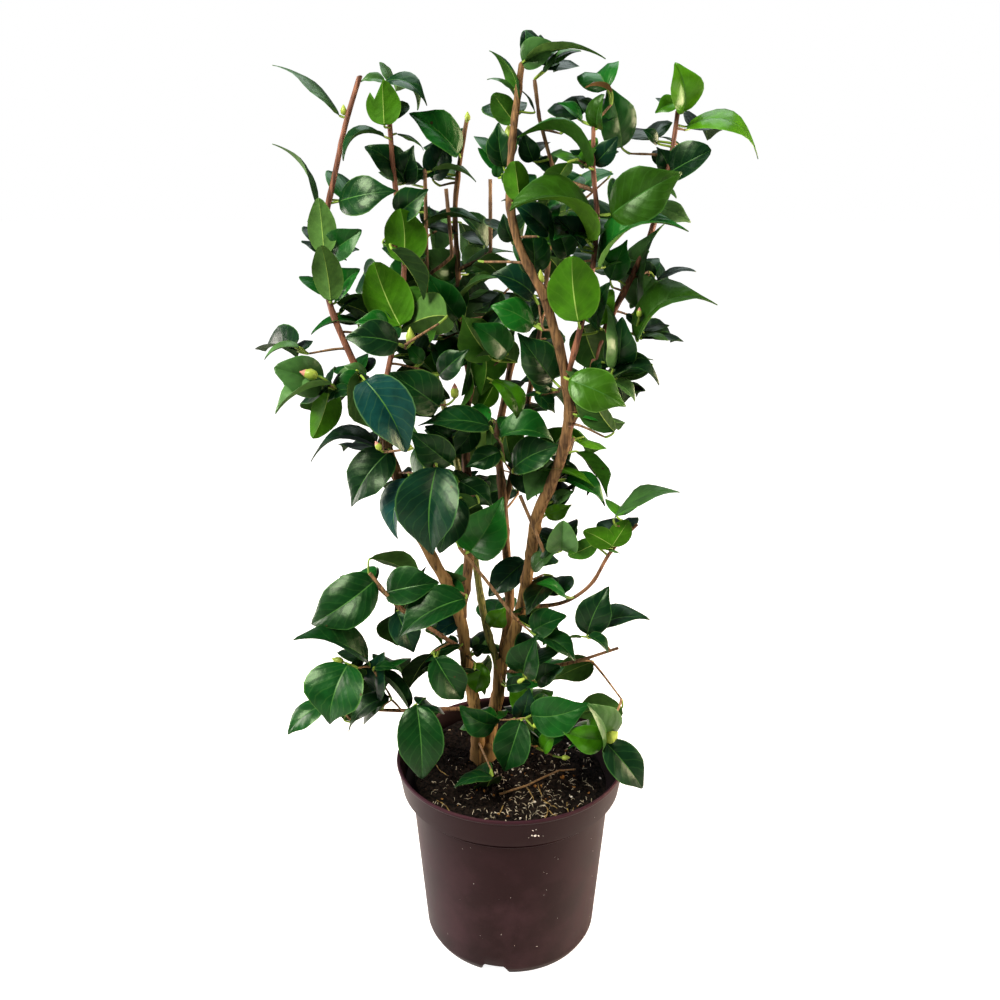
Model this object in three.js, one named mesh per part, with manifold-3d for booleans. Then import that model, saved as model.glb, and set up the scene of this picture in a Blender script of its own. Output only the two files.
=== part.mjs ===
// A camellia shrub, about 71 cm tall, growing in a 19 cm plastic nursery pot.
// Millimetres, +Z up. The origin is the centre of the pot's flat underside.
import * as THREE from "three";
import { mergeVertices } from "three/addons/utils/BufferGeometryUtils.js";
import Module from "manifold-3d";

const wasm = await Module();
wasm.setup();

// ---------------------------------------------------------------- driving dimensions

const GAP = 0.3; // clearance between pieces that rest against each other
const POT_HEIGHT = 165;
const POT_BASE_RADIUS = 69; // the flat underside
const POT_CORNER = 7; // height of the rounded corner above it
const POT_FOOT_RADIUS = 72.5; // the wall just above the corner
const SHOULDER_RADIUS = 83; // the wall just under the collar
const POT_WALL = 1.6;
const POT_FLOOR = 2.5;
const COLLAR_HEIGHT = 25; // the stiff band under the rim
const COLLAR_SLOPE = 2; // height of the ledge that carries the band out past the wall
const COLLAR_FOOT_RADIUS = 90.5;
const RIM_RADIUS = 95;
const LIP_HEIGHT = 3;
const LIP_OVERHANG = 1.4;
const POT_SIDES = 36;

const SLOT_COUNT = 3; // drainage slots round the bottom corner
const SLOT_WIDTH = 31; // between the sides' lines carried down to one height below the floor
const SLOT_TOP_WIDTH = 17;
const SLOT_HEIGHT = 9;
const SLOT_DEPTH = 14;
const FIRST_SLOT = -101; // degrees round from +X

const GROUND = 146; // level of the compost where the stems come out of it
const SOIL_DIP = 10; // how far the compost falls away towards the front right
const SOIL_LEVEL_RADIUS = 28; // compost is level this far round the stems
const SOIL_RINGS = 6;
const SOIL_SIDES = 24;
const FOOT = new THREE.Vector2(-24, 21); // where the stems stand

const LIMB_SIDES = 5;
const LIMB_STEP = 30; // length of one facet along a limb
const FLARE_HEIGHT = 14; // the root flare fades over this height
const MASS_SIDES = 8;
const MASS_RINGS = 5;
const MASS_LUMPS = 0.13; // unevenness of a leaf mass, as a part of its size

// ---------------------------------------------------------------- limbs
// Each limb is one tapering stem: the points it passes through, and its radius at foot and tip.
// A limb starts inside the one that bears it and is cut back to that limb's bark.

const LIMBS = {
  trunk: {
    path: [[-22, 22, 134], [-19, 22, 174], [-11, 20, 200], [-9, 20, 242]],
    radius: [5.8, 5.2],
    flare: 4,
  },
  right_stem_low: {
    path: [[-9, 20, 235], [4, 15, 270], [14, 2, 333], [18, -8, 374], [20, -12, 387], [30, -18, 408],
      [40, -28, 446], [41, -32, 463]],
    radius: [5.2, 3.8],
  },
  right_stem_high: {
    path: [[41, -32, 463], [37, -38, 494], [30, -42, 520], [20, -45, 550]],
    radius: [3.8, 3.1],
  },
  right_stem_top: {
    path: [[20, -45, 550], [8, -45, 568], [-2, -42, 599], [-4, -40, 616], [-2, -36, 636],
      [1, -30, 664], [5, -22, 694]],
    radius: [3.1, 2.1],
  },
  middle_right_shoot: {
    path: [[37, -38, 489], [43, -46, 514], [47, -50, 533], [52, -45, 559], [57, -33, 598],
      [53, -28, 622], [53, -22, 656]],
    radius: [2.2, 1.5],
  },
  right_shoot: {
    path: [[41, -32, 456], [54, -26, 470], [57, -20, 500], [79, -8, 547], [94, 0, 574], [106, 8, 614],
      [113, 14, 648], [115, 18, 668]],
    radius: [2.7, 1.6],
  },
  back_stem: {
    path: [[-9, 20, 237], [0, 30, 283], [-4, 38, 330], [-8, 47, 394], [-12, 52, 429], [-5, 56, 455],
      [0, 58, 484]],
    radius: [4, 2.8],
  },
  back_right_shoot: {
    path: [[-6, 44, 367], [8, 55, 423], [20, 64, 490], [28, 76, 548], [33, 86, 614]],
    radius: [2.6, 1.5],
  },
  green_stem: {
    path: [[-11, 19, 239], [-19, 20, 263], [-24, 26, 288], [-29, 34, 322], [-39, 48, 378],
      [-52, 62, 436], [-67, 75, 498], [-81, 84, 571]],
    radius: [3.2, 1.8],
  },
  left_stem: {
    path: [[-27, 20, 134], [-28, 14, 184], [-37, 6, 249], [-40, 2, 288], [-49, 0, 316],
      [-69, -6, 356], [-84, -10, 404], [-95, -12, 441], [-105, -13, 478]],
    radius: [5.4, 3.4],
    flare: 2.5,
  },
  left_shoot: {
    path: [[-105, -13, 474], [-115, -13, 498], [-129, -10, 531], [-135, -7, 562],
      [-134, -5, 586], [-126, -3, 614], [-114, 0, 661], [-104, 2, 688]],
    radius: [2.5, 1.7],
  },
  second_left_shoot: {
    path: [[-97, -12, 454], [-93, -8, 480], [-83, 0, 524], [-77, 6, 564], [-83, 10, 615],
      [-87, 15, 684]],
    radius: [2.3, 1.6],
  },
  inner_left_stem: {
    path: [[-41, 2, 292], [-36, 8, 312], [-33, 14, 341], [-33, 20, 381], [-37, 28, 440],
      [-31, 32, 473]],
    radius: [4.2, 3],
  },
  inner_left_shoot: {
    path: [[-31, 32, 473], [-39, 36, 509], [-40, 40, 551], [-43, 44, 601], [-37, 47, 644],
      [-33, 48, 664]],
    radius: [2.6, 1.6],
  },
  low_left_bough: {
    path: [[-38, 4, 258], [-48, -3, 268], [-68, -8, 286], [-89, -8, 302], [-111, -6, 324]],
    radius: [2, 1.2],
  },
  lowest_left_bough: {
    path: [[-28, 11, 200], [-57, 4, 204], [-89, -6, 208], [-116, -18, 216]],
    radius: [1.8, 1.2],
  },
  low_right_bough: {
    path: [[10, 7, 295], [38, 0, 299], [60, -8, 315], [74, -16, 351], [94, -22, 376]],
    radius: [1.7, 1.2],
  },
  lowest_right_bough: {
    path: [[-9, 20, 229], [28, 12, 237], [70, 0, 255], [86, -4, 264]],
    radius: [1.8, 1.2],
  },
};

// ---------------------------------------------------------------- masses of foliage
// Each mass: its centre, then its half length, half depth and half height.

const MASSES = {
  leaves_left_top: [[-137, 3, 678], [30, 18, 25]],
  leaves_left_upper: [[-130, 2, 589], [28, 34, 56]],
  leaves_left_elbow: [[-119, -22, 517], [36, 28, 18]],
  leaves_second_top: [[-81, 16, 675], [34, 28, 23]],
  leaves_second_middle: [[-80, 4, 610], [37, 36, 42]],
  leaves_second_low: [[-87, -24, 538], [35, 36, 33]],
  leaves_left_far: [[-138, -34, 479], [42, 36, 31]],
  leaves_left_glossy: [[-92, -44, 448], [36, 34, 32]],
  leaves_left_pointed: [[-119, 6, 405], [36, 30, 27]],
  leaves_left_stem: [[-70, -34, 382], [36, 34, 34]],
  leaves_low_inner: [[-76, -8, 312], [36, 32, 34]],
  leaves_low_left: [[-128, -22, 309], [34, 30, 40]],
  leaves_lowest_left: [[-131, -30, 243], [48, 34, 32]],
  leaves_inner_top: [[-45, 46, 619], [32, 34, 56]],
  leaves_inner_middle: [[-42, 30, 536], [38, 38, 32]],
  leaves_inner_low: [[-51, 4, 477], [36, 36, 30]],
  leaves_heart: [[6, 8, 431], [50, 42, 32]],
  leaves_inner_front: [[-19, -8, 369], [28, 30, 28]],
  leaves_crest: [[33, -18, 700], [33, 22, 12]],
  leaves_right_top: [[4, -24, 653], [34, 32, 36]],
  leaves_right_broad: [[29, -62, 602], [42, 34, 28]],
  leaves_centre: [[4, -20, 534], [38, 38, 48]],
  leaves_spotted: [[54, -70, 560], [26, 28, 34]],
  leaves_middle_top: [[64, -8, 661], [36, 32, 30]],
  leaves_middle_right: [[80, -20, 605], [30, 34, 34]],
  leaves_far_right_top: [[131, 30, 670], [42, 24, 29]],
  leaves_right_shoot: [[110, 24, 597], [27, 34, 56]],
  leaves_right_long: [[114, -50, 542], [36, 24, 24]],
  leaves_right_elbow: [[80, -44, 499], [40, 36, 32]],
  leaves_right_low: [[57, -12, 375], [38, 34, 42]],
  leaves_right_far: [[102, -28, 390], [34, 22, 28]],
  leaves_low_right: [[75, -18, 292], [37, 26, 28]],
  leaves_low_middle: [[28, -8, 278], [24, 32, 40]],
  leaves_rim_right: [[52, -22, 220], [48, 40, 41]],
  leaves_rim_left: [[-56, -20, 223], [36, 36, 46]],
  leaves_foot: [[-5, -24, 196], [34, 40, 29]],
  leaves_back_middle: [[-3, 92, 489], [50, 36, 38]],
  leaves_back_right: [[39, 98, 586], [48, 38, 42]],
  leaves_back_left: [[-81, 100, 553], [48, 38, 44]],
  leaves_back_low: [[-39, 86, 390], [42, 38, 44]],
};

// ---------------------------------------------------------------- colours

const material = (color, roughness) =>
  new THREE.MeshStandardMaterial({ color, roughness, metalness: 0 });
const POT_PLASTIC = material("#3d2b2c", 0.5);
const COMPOST = material("#1d1613", 0.95);
const BARK = material("#96704a", 0.8);
const LEAF_GREENS = ["#1d4f28", "#2a6331", "#184425", "#2f6f2c"];

// ---------------------------------------------------------------- solids

// A closed three.js geometry as a manifold solid that can be cut and joined.
function solidOf(geometry) {
  const bare = geometry.clone();
  bare.deleteAttribute("normal");
  bare.deleteAttribute("uv");
  const merged = mergeVertices(bare, 1e-4);
  return new wasm.Manifold(new wasm.Mesh({
    numProp: 3,
    vertProperties: new Float32Array(merged.attributes.position.array),
    triVerts: new Uint32Array(merged.index.array),
  }));
}

// A manifold solid as a three.js geometry.
function geometryOf(solid) {
  const { vertProperties, triVerts, numProp } = solid.getMesh();
  const vertexCount = vertProperties.length / numProp;
  const position = new Float32Array(vertexCount * 3);
  for (let v = 0; v < vertexCount; v++) {
    for (let k = 0; k < 3; k++) position[3 * v + k] = vertProperties[numProp * v + k];
  }
  const geometry = new THREE.BufferGeometry();
  geometry.setAttribute("position", new THREE.BufferAttribute(position, 3));
  geometry.setIndex(new THREE.BufferAttribute(new Uint32Array(triVerts), 1));
  geometry.computeVertexNormals();
  return geometry;
}

// The largest separate body of a solid: crumbs that a cut leaves behind are dropped.
function largestBody(solid) {
  const bodies = solid.decompose();
  return bodies.reduce((best, body) => (body.volume() > best.volume() ? body : best));
}

// A limb is a closed cylinder carried along a smooth curve, thinner towards its tip.
// With a margin it is that much fatter and longer, to cut its neighbours clear of it.
function limbSolid({ path, radius, flare = 0 }, margin = 0) {
  const curve = new THREE.CatmullRomCurve3(path.map((p) => new THREE.Vector3(...p)), false, "centripetal");
  const steps = Math.max(3, Math.round(curve.getLength() / LIMB_STEP));
  const frames = curve.computeFrenetFrames(steps, false);
  const geometry = new THREE.CylinderGeometry(1, 1, 1, LIMB_SIDES, steps);
  const position = geometry.attributes.position;
  const vertex = new THREE.Vector3();
  for (let i = 0; i < position.count; i++) {
    const along = position.getY(i) + 0.5;
    const ring = Math.round(along * steps);
    const centre = curve.getPointAt(ring / steps);
    const rootFlare = flare * Math.exp(-Math.max(0, centre.z - GROUND) / FLARE_HEIGHT);
    const r = THREE.MathUtils.lerp(radius[0], radius[1], along) + rootFlare + margin;
    const end = ring === 0 ? -margin : ring === steps ? margin : 0;
    vertex.copy(centre)
      .addScaledVector(frames.tangents[ring], end)
      .addScaledVector(frames.normals[ring], r * position.getX(i))
      .addScaledVector(frames.binormals[ring], -r * position.getZ(i));
    position.setXYZ(i, vertex.x, vertex.y, vertex.z);
  }
  return solidOf(geometry);
}

// A mass of leaves is a sphere drawn out to its three half sizes, with shallow lumps whose
// places depend on the order number, so that no two masses are alike.
function massSolid([centre, half], order, margin = 0) {
  const geometry = new THREE.SphereGeometry(1, MASS_SIDES, MASS_RINGS);
  const position = geometry.attributes.position;
  const point = new THREE.Vector3();
  const phase = 1.7 * order;
  for (let i = 0; i < position.count; i++) {
    point.fromBufferAttribute(position, i);
    const around = Math.atan2(point.z, point.x);
    const girth = Math.hypot(point.x, point.z);
    const lump = 1 + MASS_LUMPS * girth * Math.sin(3 * around + phase)
      + 0.6 * MASS_LUMPS * Math.sin(4 * point.y + phase);
    // the sphere's own axis (Y) becomes the vertical
    position.setXYZ(
      i,
      centre[0] + (half[0] + margin) * lump * point.x,
      centre[1] - (half[1] + margin) * lump * point.z,
      centre[2] + (half[2] + margin) * lump * point.y,
    );
  }
  return solidOf(geometry);
}

// ---------------------------------------------------------------- pot and compost

const collarFoot = POT_HEIGHT - COLLAR_HEIGHT;

// Blocks that cut the drainage slots where the wall meets the floor, narrower at the top.
function slotCutters(grow = 0) {
  return Array.from({ length: SLOT_COUNT }, (_, k) => {
    const turn = THREE.MathUtils.degToRad(FIRST_SLOT + (360 / SLOT_COUNT) * k);
    const outline = new THREE.Shape([
      new THREE.Vector2(-SLOT_WIDTH / 2 - 2 * grow, -SLOT_HEIGHT),
      new THREE.Vector2(SLOT_WIDTH / 2 + 2 * grow, -SLOT_HEIGHT),
      new THREE.Vector2(SLOT_TOP_WIDTH / 2 + grow, SLOT_HEIGHT + grow),
      new THREE.Vector2(-SLOT_TOP_WIDTH / 2 - grow, SLOT_HEIGHT + grow),
    ]);
    const depth = 2 * SLOT_DEPTH + grow;
    const block = new THREE.ExtrudeGeometry(outline, { depth, bevelEnabled: false });
    // stood upright with its length across the wall
    block.rotateX(Math.PI / 2).rotateZ(Math.PI / 2).translate(POT_BASE_RADIUS - SLOT_DEPTH - grow, 0, 0);
    return solidOf(block.rotateZ(turn));
  });
}

// The pot is turned from one closed profile: up the outside, over the lip and down the inside.
function potSolid() {
  const lipFoot = POT_HEIGHT - LIP_HEIGHT;
  const profile = [
    [0, 0],
    [POT_BASE_RADIUS, 0],
    [POT_FOOT_RADIUS - 1, POT_CORNER / 3],
    [POT_FOOT_RADIUS, POT_CORNER],
    [SHOULDER_RADIUS, collarFoot],
    [COLLAR_FOOT_RADIUS, collarFoot + COLLAR_SLOPE],
    [RIM_RADIUS - LIP_OVERHANG, lipFoot],
    [RIM_RADIUS, lipFoot + LIP_OVERHANG / 2],
    [RIM_RADIUS, POT_HEIGHT - LIP_OVERHANG / 2],
    [RIM_RADIUS - LIP_OVERHANG / 2, POT_HEIGHT],
    [RIM_RADIUS - LIP_OVERHANG - POT_WALL, POT_HEIGHT - LIP_OVERHANG / 2],
    [COLLAR_FOOT_RADIUS - POT_WALL, collarFoot + COLLAR_SLOPE + POT_WALL],
    [SHOULDER_RADIUS - POT_WALL, collarFoot],
    [POT_FOOT_RADIUS - POT_WALL, POT_CORNER],
    [POT_BASE_RADIUS - POT_WALL, POT_FLOOR],
    [0, POT_FLOOR],
  ].map(([r, z]) => new THREE.Vector2(r, z));
  let pot = solidOf(new THREE.LatheGeometry(profile, POT_SIDES).rotateX(Math.PI / 2));
  for (const slot of slotCutters()) pot = pot.subtract(slot);
  return largestBody(pot);
}

// Height of the compost: level round the stems, banked up behind and lower to the front right.
function soilHeight(x, y) {
  const away = Math.hypot(x - FOOT.x, y - FOOT.y);
  const fall = THREE.MathUtils.smoothstep(away, SOIL_LEVEL_RADIUS, 2.6 * SOIL_LEVEL_RADIUS);
  const frontRight = (x - y) / (2 * SHOULDER_RADIUS);
  const crumbs = 1.5 * Math.sin(0.11 * x + 1) * Math.cos(0.13 * y);
  return GROUND - GAP - fall * (SOIL_DIP * (0.35 + frontRight) + crumbs);
}

// The compost fills the pot: a turned block whose top is lifted to soilHeight.
function soilSolid() {
  const outer = POT_WALL + GAP; // from the pot's outer face to the compost
  const floor = POT_FLOOR + GAP;
  const top = collarFoot - GAP;
  const profile = [
    [0, floor],
    [POT_BASE_RADIUS - outer - GAP, floor],
    [POT_FOOT_RADIUS - outer - GAP, POT_CORNER + GAP],
    [SHOULDER_RADIUS - outer - GAP, top - 2 * GAP],
  ].map(([r, z]) => new THREE.Vector2(r, z));
  for (let ring = 0; ring <= SOIL_RINGS; ring++) {
    const radius = (SHOULDER_RADIUS - outer) * (1 - ring / SOIL_RINGS);
    profile.push(new THREE.Vector2(radius, top));
  }
  const geometry = new THREE.LatheGeometry(profile, SOIL_SIDES).rotateX(Math.PI / 2);
  const position = geometry.attributes.position;
  for (let i = 0; i < position.count; i++) {
    if (position.getZ(i) > top - GAP) {
      position.setZ(i, soilHeight(position.getX(i), position.getY(i)));
    }
  }
  let soil = solidOf(geometry);
  for (const slot of slotCutters(1)) soil = soil.subtract(slot);
  return largestBody(soil);
}

// ---------------------------------------------------------------- assembly

const shrub = new THREE.Group();

function addNode(name, solid, nodeMaterial) {
  const mesh = new THREE.Mesh(geometryOf(solid), nodeMaterial);
  mesh.name = name;
  shrub.add(mesh);
}

addNode("pot", potSolid(), POT_PLASTIC);
addNode("potting_soil", soilSolid(), COMPOST);

// Everything below the ground is cut away, so each stem stands on a flat foot.
const belowGround = solidOf(new THREE.BoxGeometry(400, 400, 200).translate(0, 0, GROUND - 100));

// Pieces that later ones must stay clear of, each grown by the gap.
const keepClear = [];
const boxesMeet = (a, b) => [0, 1, 2].every((k) => a.min[k] < b.max[k] && b.min[k] < a.max[k]);

function cutClear(solid) {
  const box = solid.boundingBox();
  const near = keepClear.filter((other) => boxesMeet(box, other.boundingBox()));
  return largestBody(near.reduce((rest, other) => rest.subtract(other), solid));
}

for (const [name, limb] of Object.entries(LIMBS)) {
  addNode(name, cutClear(limbSolid(limb).subtract(belowGround)), BARK);
  keepClear.push(limbSolid(limb, GAP));
}

Object.entries(MASSES).forEach(([name, mass], order) => {
  const green = material(LEAF_GREENS[order % LEAF_GREENS.length], 0.5);
  addNode(name, cutClear(massSolid(mass, order)), green);
  keepClear.push(massSolid(mass, order, GAP));
});

export default shrub;
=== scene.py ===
# %% [markdown]
# # A young camellia in a plastic nursery pot
#
# The shrub is a handful of thin pruned stems that rise from one pot, nearly five hundred leathery
# leaves, a few fat buds, and the compost that they stand in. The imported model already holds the
# true size and place of each limb and each mass of leaves, so this lesson only dresses it: every
# limb gets its bark, and every mass of leaves is opened up into twigs, leaf stalks and blades.

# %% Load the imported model
import math
import bpy
import numpy as np
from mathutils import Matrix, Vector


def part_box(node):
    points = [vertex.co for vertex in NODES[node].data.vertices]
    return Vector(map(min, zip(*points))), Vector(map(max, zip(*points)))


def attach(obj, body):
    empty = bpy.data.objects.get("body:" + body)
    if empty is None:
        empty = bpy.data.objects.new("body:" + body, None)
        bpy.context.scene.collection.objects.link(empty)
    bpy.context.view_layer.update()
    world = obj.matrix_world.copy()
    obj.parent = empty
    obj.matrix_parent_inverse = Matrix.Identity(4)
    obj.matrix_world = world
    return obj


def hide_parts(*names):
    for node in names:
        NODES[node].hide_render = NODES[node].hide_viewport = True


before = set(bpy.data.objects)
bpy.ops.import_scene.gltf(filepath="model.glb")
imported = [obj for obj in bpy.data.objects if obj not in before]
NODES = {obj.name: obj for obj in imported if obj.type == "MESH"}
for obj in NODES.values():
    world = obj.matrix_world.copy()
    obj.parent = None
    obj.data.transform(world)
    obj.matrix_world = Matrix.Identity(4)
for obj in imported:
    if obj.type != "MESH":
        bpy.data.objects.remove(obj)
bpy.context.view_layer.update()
BODY = "root"
MM = 0.001

# %% [markdown]
# ## Camera, floor and light
#
# The shrub is looked at from just below its own top, from not quite arm's length, so the crown is
# seen almost level and the compost is seen from above. A plain pale floor and large soft lamps
# stand in for an overcast day in the garden: the brightest one is high on the left, because waxy
# leaves show their form only by the sheen of something broad and bright above them. Two low lamps,
# one on each side, draw a thin bright edge on the stems and the pot, and the air itself sends a
# little light from everywhere, so no shadow is black. Behind it all is a plain white backdrop.

# %% Colours: sRGB hex to linear
def linear(code):
    """A colour written #rrggbb as linear red, green, blue: each channel c becomes ((c+.055)/1.055)^2.4,
    or c/12.92 where it is very dark."""
    channel = np.array([int(code[i:i + 2], 16) for i in (1, 3, 5)]) / 255
    straight = np.where(channel > 0.04045, ((channel + 0.055) / 1.055) ** 2.4, channel / 12.92)
    return (*straight.tolist(), 1.0)

# %% One helper that adds any shader node, and the start and the end of a material
def add(tree, kind, inputs=None, **settings):
    """Adds a node of that kind. settings are the node's own choices; inputs gives, for each socket, a
    value, the node whose first output feeds it, or another node's output."""
    made = tree.nodes.new("ShaderNode" + kind)
    for name, value in settings.items():
        setattr(made, name, value)
    for name, value in (inputs or {}).items():
        if isinstance(value, bpy.types.Node):
            value = value.outputs[0]
        if isinstance(value, bpy.types.NodeSocket):
            tree.links.new(value, made.inputs[name])
        else:
            made.inputs[name].default_value = value
    return made


def new_material(name):
    """An empty material and its node tree."""
    material = bpy.data.materials.new(name)
    material.use_nodes = True
    material.node_tree.nodes.clear()
    return material, material.node_tree


def layered(tree, colour, layers):
    """A colour with others laid over it in turn; each layer is how much of it shows, and its colour."""
    for share, over in layers:
        colour = add(tree, "Mix", {0: share, 6: colour, 7: over}, data_type="RGBA").outputs[2]
    return colour


def end_with_shader(tree, inputs):
    """The shader that light falls on, with those inputs, as what the tree puts out."""
    add(tree, "OutputMaterial", {"Surface": add(tree, "BsdfPrincipled", inputs)})

# %% The camera
EYE = (-0.009, -0.729, 0.630)
LOOK_DOWN = math.radians(18.37)
bpy.context.scene.view_settings.view_transform = "Standard"
camera_data = bpy.data.cameras.new("camera")
camera_data.sensor_width = 36
camera_data.lens = 36
camera = bpy.data.objects.new("camera", camera_data)
camera.location = EYE
camera.rotation_euler = (math.pi / 2 - LOOK_DOWN, 0, 0)
bpy.context.scene.collection.objects.link(camera)
bpy.context.scene.camera = camera
print("camera at", EYE)

# %% The lamps, all turned to the middle of the shrub
AIM = np.array([0, 0, 0.35])
LAMPS = [
    # name, place, size in metres, power in watts, colour
    ("key_lamp", (-1.3, -1.0, 2.0), 1.15, 118, "#fff6ea"),
    ("fill_lamp", (1.7, -1.2, 1.1), 0.9, 10, "#fff1e0"),
    ("left_edge_lamp", (-1.1, 0.25, 0.5), 0.8, 18, "#ffecf0"),
    ("right_edge_lamp", (1.1, 0.15, 0.5), 0.8, 38, "#ffe0c4"),
    ("sky_lamp", (0.2, 0.9, 2.3), 1.8, 22, "#e8f1f6"),
]
for name, place, size, power, colour in LAMPS:
    lamp_data = bpy.data.lights.new(name, "AREA")
    lamp_data.shape = "DISK"
    lamp_data.size = size
    lamp_data.energy = power
    lamp_data.color = linear(colour)[:3]
    lamp = bpy.data.objects.new(name, lamp_data)
    lamp.location = place
    aim = AIM - np.array(place)
    aim = aim / np.linalg.norm(aim)
    lamp.rotation_euler = (math.acos(-aim[2]), 0, math.atan2(-aim[0], aim[1]))
    bpy.context.scene.collection.objects.link(lamp)
print("lamps:", len(LAMPS))

# %% The air around: soft light from all sides, and a plain pale backdrop where the floor ends
world = bpy.data.worlds.new("studio")
world.use_nodes = True
bpy.context.scene.world = world
air = world.node_tree
air.nodes.clear()
AIR_LIGHT = 0.22
AIR_GLEAM = 0.08
lit = add(air, "Background", {"Color": linear("#f4f6fa"), "Strength": AIR_LIGHT})
gleam = add(air, "Background", {"Color": linear("#dfe9f7"), "Strength": AIR_GLEAM})
seen = add(air, "Background", {"Color": linear("#ffffff"), "Strength": 1.0})
ray = add(air, "LightPath")
soft = add(air, "MixShader", {0: ray.outputs["Is Glossy Ray"], 1: lit, 2: gleam})
choice = add(air, "MixShader", {0: ray.outputs["Is Camera Ray"], 1: soft, 2: seen})
add(air, "OutputWorld", {"Surface": choice})
print("world made")

# %% [markdown]
# ## Small tools for shapes
#
# Everything on this plant is one of three things: a tube (stems, twigs, leaf stalks, buds, roots),
# a blade (the leaves) or a small lump (crumbs of compost). Each is worked out as whole arrays: a
# row for every ring, a column for every corner of the ring. One more tool turns such arrays into a
# mesh, and gives it to the body that it rides on.

# %% From arrays to an object
def make_object(name, points, faces, materials, material_index=None, sharp_angle=None):
    """A mesh object from points (V, 3) and a list of faces; every face is smooth, and edges sharper
    than sharp_angle degrees stay crisp."""
    mesh = bpy.data.meshes.new(name)
    mesh.from_pydata(points.reshape(-1, 3).tolist(), [], faces)
    for material in materials:
        mesh.materials.append(material)
    if material_index is not None:
        mesh.polygons.foreach_set("material_index", np.asarray(material_index, np.int32))
    mesh.polygons.foreach_set("use_smooth", np.ones(len(mesh.polygons), bool))
    if sharp_angle is not None:
        mesh.set_sharp_from_angle(angle=math.radians(sharp_angle))
    mesh.update()
    made = bpy.data.objects.new(name, mesh)
    bpy.context.scene.collection.objects.link(made)
    return made


def dress(piece, slot, *nodes):
    """The piece rides on the shrub's one body and stands for those nodes, which it hides. The slot is not
    used.
    """
    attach(piece, BODY)
    if nodes:
        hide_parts(*nodes)
    print(piece.name, "faces:", len(piece.data.polygons))
    return piece

# %% Unit vectors and smooth wandering
def unit(vector):
    """Each vector divided by its own length."""
    return vector / np.maximum(np.linalg.norm(vector, axis=-1, keepdims=True), 1e-12)


def ripples(points, length, seed, waves=9):
    """A smooth random height for each point, about -1 to 1: the mean of several sine waves of about
    that wavelength, each running in its own random direction."""
    draw = np.random.default_rng(seed)
    direction = unit(draw.normal(size=(waves, 3)))
    pitch = 2 * math.pi / (length * draw.uniform(0.6, 1.6, waves))
    phase = draw.uniform(0, 2 * math.pi, waves)
    wave = np.sin((points @ direction.T) * pitch + phase)
    return wave.sum(-1) / math.sqrt(waves)

# %% Rings into faces
CRISP = 60


def ring_faces(count, rings, sides):
    """Faces of `count` closed tubes, each of `rings` rings of `sides` points: a four-sided face between
    neighbouring rings, and one many-sided face on each end."""
    tube = np.arange(count)[:, None, None] * rings * sides
    row = np.arange(rings - 1)[None, :, None] * sides
    column = np.arange(sides)[None, None, :]
    after = (column + 1) % sides
    side = np.stack([tube + row + column, tube + row + after,
                     tube + row + sides + after, tube + row + sides + column], -1)
    start = np.arange(count)[:, None] * rings * sides + np.arange(sides)[None, ::-1]
    end = np.arange(count)[:, None] * rings * sides + (rings - 1) * sides + np.arange(sides)[None, :]
    return side.reshape(-1, 4), start.tolist(), end.tolist()


def dress_tubes(name, points, materials, slot, index=None, sharp=CRISP, nodes=()):
    """One dressed piece of closed tubes, from points (N, rings, sides, 3)."""
    side, start, end = ring_faces(*points.shape[:3])
    piece = make_object(name, points, side.tolist() + start + end, materials, index, sharp)
    return dress(piece, slot, *nodes)

# %% Tubes
def tube_points(path, radius, sides):
    """Rings round the paths (N, M, 3): each point is path + radius * (cos a * across + sin a * other),
    where across and other are square to the path."""
    along = unit(np.gradient(path, axis=1))
    chord = np.abs(path[:, -1] - path[:, 0])
    least = np.eye(3)[np.argmin(chord, axis=1)][:, None, :]
    across = unit(np.cross(along, least))
    other = np.cross(along, across)
    angle = np.arange(sides) * 2 * math.pi / sides
    ring = (across[:, :, None, :] * np.cos(angle)[:, None]
            + other[:, :, None, :] * np.sin(angle)[:, None])
    spread = np.broadcast_to(radius[..., None] if radius.ndim == 2 else radius, ring.shape[:3])
    return path[:, :, None, :] + ring * spread[..., None]

# %% Bends
EASE = 0.55


def cubic(t, p, a, q, b):
    """Points at shares t of a curve from p to q that sets off with the speed a and comes in with the
    speed b: (2ttt - 3tt + 1) p + (ttt - 2tt + t) a + (3tt - 2ttt) q + (ttt - tt) b."""
    return ((2 * t**3 - 3 * t**2 + 1) * p + (t**3 - 2 * t**2 + t) * a
            + (3 * t**2 - 2 * t**3) * q + (t**3 - t**2) * b)


def bend(start, end, leave, arrive, steps):
    """Smooth paths (N, steps, 3) from start to end: a cubic that sets off along `leave` and comes in
    along `arrive`, both EASE times as long as the gap itself."""
    t = np.linspace(0, 1, steps)[None, :, None]
    gap = np.linalg.norm(end - start, axis=-1, keepdims=True) * EASE
    a = (unit(leave) * gap)[:, None, :]
    b = (unit(arrive) * gap)[:, None, :]
    return cubic(t, start[:, None, :], a, end[:, None, :], b)

# %% [markdown]
# ## The limbs
#
# The stems of this shrub are as thick as a pencil and have been cut back more than once. Their bark
# is thin: tan and finely split on the oldest wood, painted darker as shade on the inner stems, and
# red-brown on the shoots of the last summers. The imported model has each limb as a plain five-sided
# solid, so its middle line and its thickness can be measured there: a knife goes through the solid
# every few millimetres, the middle of each cut gives the line, and the area of the cut gives the
# radius. A regular pentagon of radius r has an area of PENTAGON * r * r.

# %% Measure a limb of the imported model
CUT_STEP = 8 * MM
END_MARGIN = 6 * MM
PENTAGON = 2.5 * math.sin(math.radians(72))


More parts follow.
